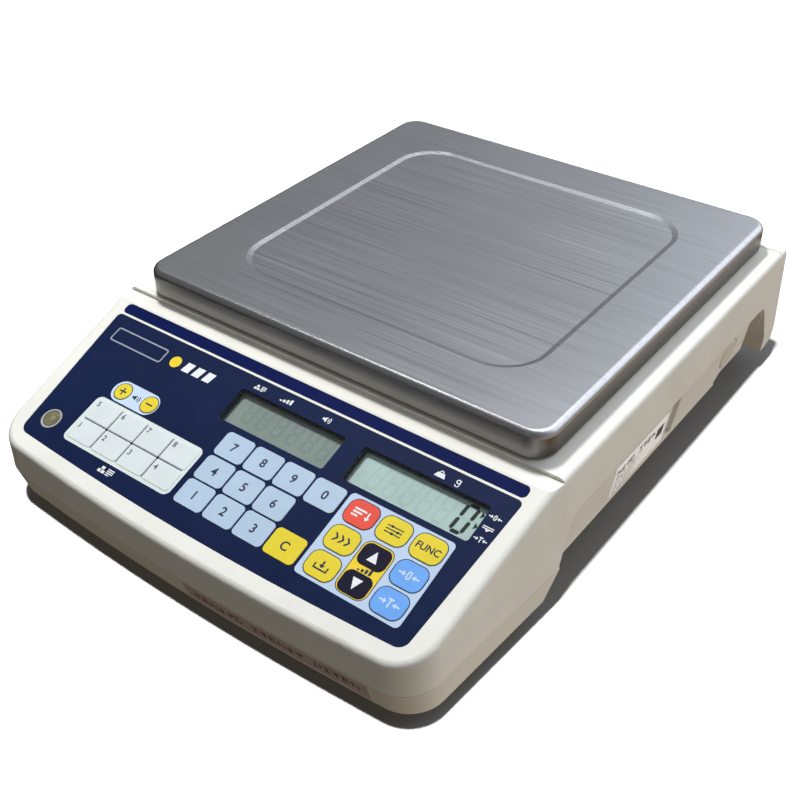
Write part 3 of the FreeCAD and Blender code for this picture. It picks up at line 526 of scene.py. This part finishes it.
outline_shapes = [flat_mesh([capsule_outer, capsule_inner], SHEET_TOP)]
for key in FUNCTION_KEYS:
    outline_shapes.append(flat_mesh(outline_ring(key, CORNER["function"]), SHEET_TOP))
for key in VOLUME_KEYS:
    outline_shapes.append(flat_mesh(outline_ring(key, CORNER["volume"]), SHEET_TOP))
add_piece("print_key_outlines", merged(outline_shapes), INKS["ink_dark"], "housing")

PRESET_CELLS = spanning(-96.2, -21.6, 8.0, 36.8, 3.6)
cell_holes = [opening(key, CORNER["preset"]) for key in PRESET_KEYS]
print_on("print_preset_cells", [PRESET_CELLS] + cell_holes, "ink_cells")

# thickness of the dividers, (middle, length) of the long one, (offset, length) of the short ones, and
# half the size of the diamond where they cross
DIVIDER = 0.55
LONG_DIVIDER = (-58.85, 69.0)
SHORT_DIVIDER = (6.4, 11.8)
CROSSING = 1.15
preset_places = [key_place(key) for key in PRESET_KEYS]
columns = [(preset_places[i][0] + preset_places[i + 1][0]) / 2 for i in range(3)]
row = (preset_places[0][1] + preset_places[4][1]) / 2
divider_marks = [bar(LONG_DIVIDER[0], row, LONG_DIVIDER[1], DIVIDER)]
for x in columns:
    for way in (1, -1):
        divider_marks.append(bar(x, row + way * SHORT_DIVIDER[0], DIVIDER, SHORT_DIVIDER[1]))
    divider_marks.append([(x - CROSSING, row), (x, row - CROSSING), (x + CROSSING, row), (x, row + CROSSING)])
print_marks("print_preset_dividers", divider_marks, "ink_dark", level=SHEET_TOP + INK)

STRIPE = rounded(0.0, 87.65, 252.7, 6.0, 2.45)
print_on("print_stripe", [STRIPE], "ink_stripe")


# ---- generic pictograms, drawn in a box 1 high centred on 0 ----
def inward_arrows():
    return [
        stroke((-1.15, 0.0), (-0.68, 0.0), 0.17), [(-0.70, -0.30), (-0.34, 0.0), (-0.70, 0.30)],
        stroke((1.15, 0.0), (0.68, 0.0), 0.17), [(0.70, 0.30), (0.34, 0.0), (0.70, -0.30)],
    ]


def zero_mark():
    return inward_arrows() + [
        arc_band(0.0, 0.22, 0.17, 0.16, 0.0, 180.0), arc_band(0.0, -0.22, 0.17, 0.16, 180.0, 360.0),
        stroke((-0.17, -0.22), (-0.17, 0.22), 0.16), stroke((0.17, -0.22), (0.17, 0.22), 0.16),
    ]


def tare_mark():
    return inward_arrows() + [bar(0.0, 0.40, 0.62, 0.17), bar(0.0, -0.08, 0.17, 0.80)]


def sort_mark():
    return [
        bar(-0.30, 0.38, 1.5, 0.21), bar(-0.48, 0.0, 1.14, 0.21), bar(-0.66, -0.38, 0.78, 0.21),
        bar(0.78, 0.14, 0.19, 0.70), [(0.46, -0.16), (1.10, -0.16), (0.78, -0.54)],
    ]


def setup_mark():
    marks = []
    for level, knob in ((0.38, -0.40), (0.0, 0.46), (-0.38, -0.05)):
        marks += [bar(0.0, level, 2.0, 0.13), rounded(knob, level, 0.32, 0.32, 0.16, 4)]
    return marks


def easy_mark():
    marks = []
    for x in (-0.75, 0.0, 0.75):
        marks.append([(x - 0.34, 0.48), (x - 0.08, 0.48), (x + 0.30, 0.0), (x - 0.08, -0.48),
                      (x - 0.34, -0.48), (x + 0.04, 0.0)])
    return marks


def store_mark():
    return [
        bar(0.0, 0.26, 0.20, 0.52), [(-0.36, 0.06), (0.36, 0.06), (0.0, -0.28)],
        bar(0.0, -0.46, 1.64, 0.17), bar(-0.74, -0.18, 0.17, 0.44), bar(0.74, -0.18, 0.17, 0.44),
    ]


def rank_mark():
    return [bar(-0.66 + 0.44 * i, -0.42 + 0.12 * (i + 1), 0.30, 0.24 * (i + 1)) for i in range(4)]


def voice_mark():
    return [
        bar(-0.62, 0.0, 0.34, 0.40), [(-0.44, -0.20), (-0.06, -0.50), (-0.06, 0.50), (-0.44, 0.20)],
        arc_band(-0.05, 0.0, 0.36, 0.15, -50.0, 50.0), arc_band(-0.05, 0.0, 0.70, 0.15, -45.0, 45.0),
    ]


def item_mark():
    return [
        bar(-0.62, 0.25, 0.50, 0.42), bar(-0.92, -0.27, 0.48, 0.42), bar(-0.32, -0.27, 0.48, 0.42),
        bar(0.62, 0.40, 1.0, 0.15), bar(0.62, 0.13, 1.0, 0.15),
        bar(0.62, -0.14, 1.0, 0.15), bar(0.42, -0.41, 0.6, 0.15),
    ]


def weight_mark():
    return [
        [(-0.66, -0.50), (0.66, -0.50), (0.42, 0.20), (-0.42, 0.20)],
        arc_band(0.0, 0.32, 0.18, 0.13, -20.0, 200.0),
    ]


def steady_mark():
    return [
        bar(0.0, 0.28, 1.9, 0.17), bar(0.0, -0.05, 1.9, 0.17), [(-0.34, -0.16), (0.34, -0.16), (0.0, -0.55)],
    ]


def gram_mark():
    return [
        arc_band(0.0, 0.02, 0.26, 0.15, 0.0, 360.0, 18), bar(0.30, -0.09, 0.15, 0.82),
        arc_band(0.02, -0.48, 0.28, 0.14, 180.0, 360.0, 10),
    ]


def placed(mark, x, s, size, widen=1.0):
    return [[(x + px * size * widen, s + ps * size) for px, ps in outline] for outline in mark]


KEY_MARKS = {
    "key_sort": (sort_mark(), 4.4, "ink_white"),
    "key_setup": (setup_mark(), 4.3, "ink_numeral"),
    "key_easy": (easy_mark(), 4.3, "ink_numeral"),
    "key_store": (store_mark(), 4.6, "ink_numeral"),
    "key_zero": (zero_mark(), 4.6, "ink_pale"),
    "key_tare": (tare_mark(), 4.6, "ink_pale"),
}
KEY_SLOTS = {
    "key_sort": "key_red", "key_zero": "key_azure", "key_tare": "key_azure",
    "key_rank_up": "key_black", "key_rank_down": "key_black",
}
for key, (mark, size, ink) in KEY_MARKS.items():
    x, s = key_place(key)[:2]
    slot_name = KEY_SLOTS.get(key, "key_yellow")
    print_marks(f"legend_{key[4:]}", placed(mark, x, s, size), ink, KEY_TOP, f"{key}_cap")

TEXT_KEYS = [(f"key_digit_{i}", str(i), 4.7, "key_blue") for i in range(10)]
TEXT_KEYS += [("key_clear", "C", 4.7, "key_yellow"), ("key_function", "FUNC", 3.5, "key_yellow")]
for key, text, height, slot_name in TEXT_KEYS:
    x, s = key_place(key)[:2]
    legend = text_mesh(text, x, s, height, KEY_TOP)
    add_piece(f"legend_{key[4:]}", legend, INKS["ink_numeral"], f"{key}_cap")

PRESET_NUMERAL_LEFT = 6.1
PRESET_NUMERAL_HEIGHT = 3.1
LOWER_ROW_RISE, UPPER_ROW_RISE = 2.2, 3.3
for number, key in enumerate(PRESET_KEYS, 1):
    x, s = key_place(key)[:2]
    rise = LOWER_ROW_RISE if number < 5 else UPPER_ROW_RISE
    legend = text_mesh(str(number), x - PRESET_NUMERAL_LEFT, s + rise, PRESET_NUMERAL_HEIGHT, KEY_TOP)
    add_piece(f"legend_preset_{number}", legend, INKS["ink_preset"], f"{key}_cap")

for key, turn in (("key_rank_up", 1), ("key_rank_down", -1)):
    x, s = key_place(key)[:2]
    arrow = [(x - 2.6, s - 2.7 * turn), (x + 2.6, s - 2.7 * turn), (x, s + 2.8 * turn)]
    print_marks(f"legend_{key[4:]}", [arrow], "ink_white", KEY_TOP, f"{key}_cap")

for key, plus in (("key_volume_up", True), ("key_volume_down", False)):
    x, s = key_place(key)[:2]
    sign = [bar(x, s, 4.4, 0.8)]
    if plus:
        sign += [bar(x, s + 1.3, 0.8, 1.8), bar(x, s - 1.3, 0.8, 1.8)]
    print_marks(f"legend_{key[4:]}", sign, "ink_numeral", KEY_TOP, f"{key}_cap")

print_marks("print_volume_mark", placed(voice_mark(), -76.5, 44.05, 3.4), "ink_numeral", SHEET_TOP + INK)
print_marks("print_rank_mark", placed(rank_mark(), 85.3, 22.75, 3.0, 1.5), "ink_numeral", SHEET_TOP + INK)

# each heading's mark, place, height and widening
HEADINGS = (
    (item_mark(), -21.0, 78.3, 3.0, 1.0),
    (rank_mark(), -4.0, 78.2, 3.0, 1.5),
    (voice_mark(), 21.4, 78.3, 3.2, 1.0),
    (weight_mark(), 87.0, 78.3, 3.4, 1.3),
    (zero_mark(), 120.5, 70.7, 2.9, 1.0),
    (steady_mark(), 120.5, 64.6, 2.9, 1.0),
    (tare_mark(), 120.5, 58.7, 2.9, 1.0),
    (item_mark(), -59.2, 4.2, 3.8, 1.1),
    (gram_mark(), 96.4, 78.5, 3.4, 1.0),
)
headings = []
for mark, x, s, size, widen in HEADINGS:
    headings += placed(mark, x, s, size, widen)
print_marks("print_headings", headings, "ink_white")

# ---- a blank name plate, a dot and plain bars where a maker would print its name ----
PLATE_OUTSIDE = spanning(-119.4, -81.8, 66.6, 75.6, 1.6)
PLATE_INSIDE = spanning(-118.6, -82.6, 67.4, 74.8, 1.0)
SLANTED_FOOT, SLANTED_HEAD = 68.4, 74.2
print_on("print_blank_plate", [PLATE_OUTSIDE, PLATE_INSIDE], "ink_grey")
print_marks("print_dot", [circle(-73.7, 71.3, 3.4)], "ink_yellow")
slanted = []
for x in (-64.6, -57.4, -50.2):
    foot = [(x - 3.0, SLANTED_FOOT), (x + 1.8, SLANTED_FOOT)]
    slanted.append(foot + [(x + 3.0, SLANTED_HEAD), (x - 1.8, SLANTED_HEAD)])
print_marks("print_plain_bars", slanted, "ink_white")


# ---- dark gaskets that line the display openings between the glass and the window ----
OPENINGS = {"small_lcd": (3.4, 64.6, 65.8, 19.5), "large_lcd": (81.6, 65.0, 69.0, 19.4)}
OPENING_CORNER = 1.6
SEGMENT_GAP = 0.22
WINDOW_UNDERSIDE = -1.55
GASKET = 0.45
GASKET_RUBBER = finish_material(
    "gasket_rubber", (0.016, 0.017, 0.018), 0.7, mottle=(200.0, 0.3), grain=(1500.0, 2e-5), specular=0.3,
)
for display, (x, s, width, height) in OPENINGS.items():
    frame_lines = [
        rounded(x, s, width - 0.04, height - 0.04, OPENING_CORNER),
        rounded(x, s, width - 2 * GASKET, height - 2 * GASKET, OPENING_CORNER - GASKET),
    ]
    gasket = flat_mesh(frame_lines, GLASS_TOP, WINDOW_UNDERSIDE - GLASS_TOP - 0.01)
    add_piece(f"gasket_{display}", gasket, GASKET_RUBBER, "housing")


# ---- liquid-crystal digits ----
def digit_segments(x, s, width, height, thick, lean, lit):
    """A digit's bars as outlines. lit names them: a is the top one, then clockwise, and g the middle."""
    half_w, half_h, gap = width / 2, height / 2, SEGMENT_GAP
    point = thick / 2

    def level_bar(level):
        a, b = -half_w + point + gap, half_w - point - gap
        return [(a, level), (a + point, level + point), (b - point, level + point),
                (b, level), (b - point, level - point), (a + point, level - point)]

    def upright_bar(side, low, high):
        a, b = low + gap, high - gap
        return [(side, a), (side + point, a + point), (side + point, b - point),
                (side, b), (side - point, b - point), (side - point, a + point)]

    edge, top = half_w - point, half_h - point
    shapes = {
        "a": level_bar(top), "b": upright_bar(edge, 0.0, top), "c": upright_bar(edge, -top, 0.0),
        "d": level_bar(-top), "e": upright_bar(-edge, -top, 0.0), "f": upright_bar(-edge, 0.0, top),
        "g": level_bar(0.0),
    }
    return [[(x + px + ps * lean, s + ps) for px, ps in shapes[letter]] for letter in lit]


# a digit's width, height and bar thickness
SMALL_DIGIT, LARGE_DIGIT = (6.0, 13.2, 1.25), (6.6, 15.6, 1.35)
LAST_DIGIT, LIT_DIGIT = (7.2, 16.2, 1.45), (7.4, 16.4, 1.85)
SMALL_LINE, SMALL_FIRST, SMALL_PITCH = 66.2, -18.6, 9.5
LARGE_LINE, LARGE_FIRST, LARGE_PITCH = 65.8, 60.2, 9.2
LEAN = 0.09
ZERO_X = 107.2
ARROW_X, ARROW_SIZE = 112.6, 1.8
small_ghosts = []
for column in range(6):
    x = SMALL_FIRST + SMALL_PITCH * column
    small_ghosts += digit_segments(x, SMALL_LINE, *SMALL_DIGIT, 0.0, "abcdefg")
print_marks("small_lcd_segments", small_ghosts, "segment_ghost_small", GLASS_TOP)
large_ghosts = digit_segments(52.7, 62.8, 3.2, 5.6, 0.8, LEAN, "abcdef")
for column in range(5):
    x = LARGE_FIRST + LARGE_PITCH * column
    large_ghosts += digit_segments(x, LARGE_LINE, *LARGE_DIGIT, LEAN, "abcdefg")
large_ghosts += digit_segments(ZERO_X, LARGE_LINE, *LAST_DIGIT, LEAN, "g")
print_marks("large_lcd_ghosts", large_ghosts, "segment_ghost_large", GLASS_TOP)
lit_shapes = digit_segments(ZERO_X, LARGE_LINE, *LIT_DIGIT, LEAN, "abcdef")
for s in (70.8, 64.8):
    lit_shapes.append([(ARROW_X, s - ARROW_SIZE), (ARROW_X + ARROW_SIZE, s), (ARROW_X, s + ARROW_SIZE)])
print_marks("large_lcd_lit_zero", lit_shapes, "segment_lit", GLASS_TOP)

# ---- spirit level: the fluid and its bubble, each a shallow lens ----
LEVEL = (-110.0, 13.9)
BUBBLE_AT = (LEVEL[0] + 0.5, LEVEL[1] + 0.4)
FLUID_RADIUS, FLUID_LEVEL, FLUID_RISE = 4.85, -0.8, 0.62
BUBBLE_RADIUS, BUBBLE_LEVEL, BUBBLE_RISE = 1.5, -0.25, 0.16


def dome_mesh(x, s, radius, base_level, rise, rings=8, around=40):
    """A shallow closed lens with a flat underside."""
    shape = bmesh.new()
    levels = []
    for ring in range(rings):
        angle = math.pi / 2 * ring / rings
        level = base_level + rise * math.sin(angle)
        outline = circle(x, s, radius * math.cos(angle), around)
        levels.append([shape.verts.new((px, ps, level)) for px, ps in outline])
    top = shape.verts.new((x, s, base_level + rise))
    for lower, upper in zip(levels, levels[1:]):
        for k in range(around):
            shape.faces.new((lower[k], lower[(k + 1) % around], upper[(k + 1) % around], upper[k]))
    for k in range(around):
        shape.faces.new((levels[-1][k], levels[-1][(k + 1) % around], top))
    shape.faces.new(levels[0][::-1])
    mesh = bpy.data.meshes.new("dome")
    shape.to_mesh(mesh)
    shape.free()
    return mesh


FLUID = finish_material(
    "vial_fluid", (0.16, 0.15, 0.085), 0.12, mottle=(260.0, 0.25), grain=(400.0, 4e-6), specular=0.7,
)
BUBBLE = finish_material(
    "vial_bubble", (0.24, 0.235, 0.15), 0.08, mottle=(500.0, 0.2), grain=(600.0, 2e-6), specular=0.9,
)
fluid_dome = dome_mesh(*LEVEL, FLUID_RADIUS, FLUID_LEVEL, FLUID_RISE)
bubble_dome = dome_mesh(*BUBBLE_AT, BUBBLE_RADIUS, BUBBLE_LEVEL, BUBBLE_RISE)
fluid = add_piece("level_fluid", fluid_dome, FLUID, "housing")
bubble = add_piece("level_bubble", bubble_dome, BUBBLE, "housing")
for lens in (fluid, bubble):
    for polygon in lens.data.polygons:
        polygon.use_smooth = True


# ---- printing on the two stickers: abstract marks laid on the paper, in metres ----
def surface_of(node):
    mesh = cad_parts[node].data
    return BVHTree.FromPolygons([v.co for v in mesh.vertices], [p.vertices[:] for p in mesh.polygons])


LABEL_SURFACE = surface_of("labels")
LIFT = 0.00003


def laid_bar(corner, across, up, steps=6):
    """A thin strip from corner, along across and up, with every point pressed onto the sticker."""
    shape = bmesh.new()
    rows = []
    for j in (0, 1):
        rows.append([])
        for i in range(steps + 1):
            point = corner + across * (i / steps) + up * j
            spot, normal, _, _ = LABEL_SURFACE.find_nearest(point)
            rows[j].append((shape.verts.new(spot + normal * LIFT), shape.verts.new(spot - normal * LIFT)))
    for i in range(steps):
        a, b, c, d = rows[0][i], rows[0][i + 1], rows[1][i + 1], rows[1][i]
        shape.faces.new((a[0], b[0], c[0], d[0]))
        shape.faces.new((d[1], c[1], b[1], a[1]))
        shape.faces.new((a[1], b[1], b[0], a[0]))
        shape.faces.new((c[1], d[1], d[0], c[0]))
    for i in (0, steps):
        a, d = rows[0][i], rows[1][i]
        shape.faces.new((a[0], d[0], d[1], a[1]) if i == 0 else (d[0], a[0], a[1], d[1]))
    bmesh.ops.recalc_face_normals(shape, faces=shape.faces)
    mesh = bpy.data.meshes.new("laid")
    shape.to_mesh(mesh)
    shape.free()
    return mesh


STROKES = (
    ((0.0, 1.0), (1.0, 1.0)), ((0.0, 0.5), (1.0, 0.5)), ((0.0, 0.0), (1.0, 0.0)),
    ((0.1, 0.0), (0.1, 1.0)), ((0.5, 0.0), (0.5, 1.0)), ((0.9, 0.0), (0.9, 0.5)), ((0.9, 0.5), (0.9, 1.0)),
)
WORD = 7
MARK_WIDTH = 0.86
PATTERNS = ((0, 1, 4), (0, 2, 5, 3), (1, 3, 5), (0, 4, 2), (1, 4, 6), (0, 1, 2, 3), (2, 3, 6), (1, 2, 4))


def laid_marks(corner, across, up, size, count, pitch, weight, first=0):
    """A row of abstract marks of a few strokes each. They stand for printing and spell nothing.

    Every place that would end a word is left blank, and first sets where the row starts in the patterns.
    """
    marks = []
    for number in range(count):
        if (number + first) % WORD == WORD - 1:
            continue
        start = corner + across * (pitch * number)
        for which in PATTERNS[(number * 5 + first) % len(PATTERNS)]:
            (x0, z0), (x1, z1) = STROKES[which]
            flat = z0 == z1
            foot = start + across * (x0 * size * MARK_WIDTH) + up * (z0 * (size - weight))
            run = across * ((x1 - x0) * size * MARK_WIDTH) if flat else across * weight
            rise = up * weight if flat else up * ((z1 - z0) * (size - weight) + weight)
            marks.append(laid_bar(foot, run, rise, 2))
    return marks


ACROSS_FRONT, ALONG_SIDE, UP = Vector((1, 0, 0)), Vector((0, 1, 0)), Vector((0, 0, 1))
STICKER_SPLIT = -0.15


def span(points, axis):
    return min(p[axis] for p in points), max(p[axis] for p in points)


def print_sticker(name, marks):
    add_piece(name, merged(marks), INKS["label_ink"], "housing", Matrix.Identity(4))


label_points = [v.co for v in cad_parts["labels"].data.vertices]
front_points = [p for p in label_points if p.y < STICKER_SPLIT]
side_points = [p for p in label_points if p.y > STICKER_SPLIT]
front_x, front_y, front_z = (span(front_points, axis) for axis in range(3))
side_x, side_y, side_z = (span(side_points, axis) for axis in range(3))

front_start = Vector((front_x[0] + 0.006, front_y[0], front_z[0] + 0.0032))
front_marks = laid_marks(
    front_start, ACROSS_FRONT, UP, size=0.0044, count=19, pitch=0.0050, weight=0.00075,
)
print_sticker("print_front_sticker", front_marks)

side_start = Vector((side_x[1], side_y[0] + 0.002, 0.0))
title_foot = side_start + UP * (side_z[1] - 0.0062)
side_marks = laid_marks(
    title_foot, ALONG_SIDE, UP, size=0.0040, count=9, pitch=0.0044, weight=0.0009, first=2,
)
for line in range(5):
    line_foot = side_start + UP * (side_z[1] - 0.0090 - 0.0026 * line)
    side_marks += laid_marks(
        line_foot, ALONG_SIDE, UP, size=0.0014, count=15 - line, pitch=0.0018, weight=0.00028, first=line,
    )
CODE_SIZE = 0.0075
code_foot = Vector((side_x[1], side_y[1] - 0.0105, side_z[1] - 0.0115))
side_marks.append(laid_bar(code_foot, ALONG_SIDE * CODE_SIZE, UP * CODE_SIZE))
print_sticker("print_side_sticker", side_marks)

# ---- the floor, the light and the camera ----
FLOOR_HALF = 6.0
FLOOR_CELLS = 12
WHITE = (1.0, 1.0, 1.0)
floor_shape = bmesh.new()
bmesh.ops.create_grid(floor_shape, x_segments=FLOOR_CELLS, y_segments=FLOOR_CELLS, size=FLOOR_HALF)
floor_mesh = bpy.data.meshes.new("floor")
floor_shape.to_mesh(floor_mesh)
floor_shape.free()
floor = bpy.data.objects.new("floor", floor_mesh)
bpy.context.scene.collection.objects.link(floor)
# A lamp of its own lights the card up to white, and leaves it dark right under the scale.
floor_mesh.materials.append(finish_material(
    "floor_card", (0.18, 0.18, 0.18), 0.6, mottle=(3.0, 0.01), grain=(300.0, 2e-5), specular=0.2,
))
floor.visible_diffuse = False
floor.visible_glossy = False
floor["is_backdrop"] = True


def area_light(name, location, target, width, height, power, colour=WHITE):
    data = bpy.data.lights.new(name, "AREA")
    data.shape = "RECTANGLE"
    data.size, data.size_y = width, height
    data.energy = power
    data.color = colour
    light = bpy.data.objects.new(name, data)
    bpy.context.scene.collection.objects.link(light)
    light.location = location
    light.rotation_euler = (Vector(target) - Vector(location)).to_track_quat("-Z", "Y").to_euler()
    return light


key_light = area_light(
    "key_light", (-0.49, 0.30, 1.36), (0.0, 0.0, 0.05), 0.20, 0.20, 20.6, (1.0, 0.995, 0.985),
)
floor_light = area_light("floor_light", (0.11, -0.42, 2.40), (0.11, -0.42, 0.0), 0.13, 0.13, 500.0)
for soft_light in (key_light, floor_light):
    soft_light.visible_glossy = False
only_floor = bpy.data.collections.new("only_floor")
only_floor.objects.link(floor)
floor_light.light_linking.receiver_collection = only_floor
all_but_floor = bpy.data.collections.new("all_but_floor")
all_but_floor.objects.link(floor)
all_but_floor.collection_objects[0].light_linking.link_state = "EXCLUDE"
key_light.light_linking.receiver_collection = all_but_floor
rim_lights = (
    area_light("back_rim_light", (0.0, 0.62, 1.45), (0.0, 0.05, 0.09), 0.5, 0.3, 8.0),
    area_light("left_rim_light", (-0.75, 0.45, 1.45), (0.0, -0.05, 0.09), 0.5, 0.15, 2.5),
)
for rim_light in rim_lights:
    rim_light.visible_diffuse = False

# ---- soft surroundings: a cool sky and warm ground, both brighter towards the right and the back ----
SKY_DARK, SKY_BRIGHT, SKY_PANEL = (0.18, 0.178, 0.175), (0.52, 0.54, 0.58), (1.95, 2.05, 2.2)
GROUND_DARK, GROUND_BRIGHT = (0.045, 0.035, 0.027), (0.58, 0.47, 0.34)
world = bpy.data.worlds.new("studio")
bpy.context.scene.world = world
world.use_nodes = True
tree = world.node_tree
background = tree.nodes["Background"]
direction = tree.nodes.new("ShaderNodeTexCoord").outputs["Generated"]


def fade(vector, start, end, first, second):
    """One colour turning into another as the view turns towards vector; start and end are cosines."""
    node = tree.nodes.new("ShaderNodeVectorMath")
    node.operation = "DOT_PRODUCT"
    node.inputs[1].default_value = Vector(vector).normalized()
    tree.links.new(direction, node.inputs[0])
    return blend_colours(tree, remap(tree, node.outputs["Value"], 0.0, 1.0, start, end), first, second)


sky = fade((0.45, 0.80, 0.40), 0.0, 1.0, SKY_DARK, SKY_BRIGHT)
sky = fade((0.35, 0.75, 0.55), 0.73, 0.95, sky, SKY_PANEL)
ground = fade((0.95, 0.30, 0.0), -0.25, 0.9, GROUND_DARK, GROUND_BRIGHT)
surroundings = fade((0.0, 0.0, 1.0), -0.06, 0.22, ground, sky)
tree.links.new(surroundings, background.inputs["Color"])
background.inputs["Strength"].default_value = 1.0

CAMERA_AT = (0.3057, -0.39955, 0.3967)
CAMERA_TURN = (52.7324, 1.05205, 37.2346)
CAMERA_LENS = 50.979
camera_data = bpy.data.cameras.new("camera")
camera_data.lens = CAMERA_LENS
camera_data.sensor_width = 36.0
camera_data.clip_start = 0.01
camera = bpy.data.objects.new("camera", camera_data)
camera.location = CAMERA_AT
camera.rotation_euler = [math.radians(angle) for angle in CAMERA_TURN]
bpy.context.scene.collection.objects.link(camera)
bpy.context.scene.camera = camera
bpy.context.scene.view_settings.view_transform = "Standard"

size = {
    "cad": [list(cad_box[0]), list(cad_box[1])],
    "visual": [list(corner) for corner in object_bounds()],
}
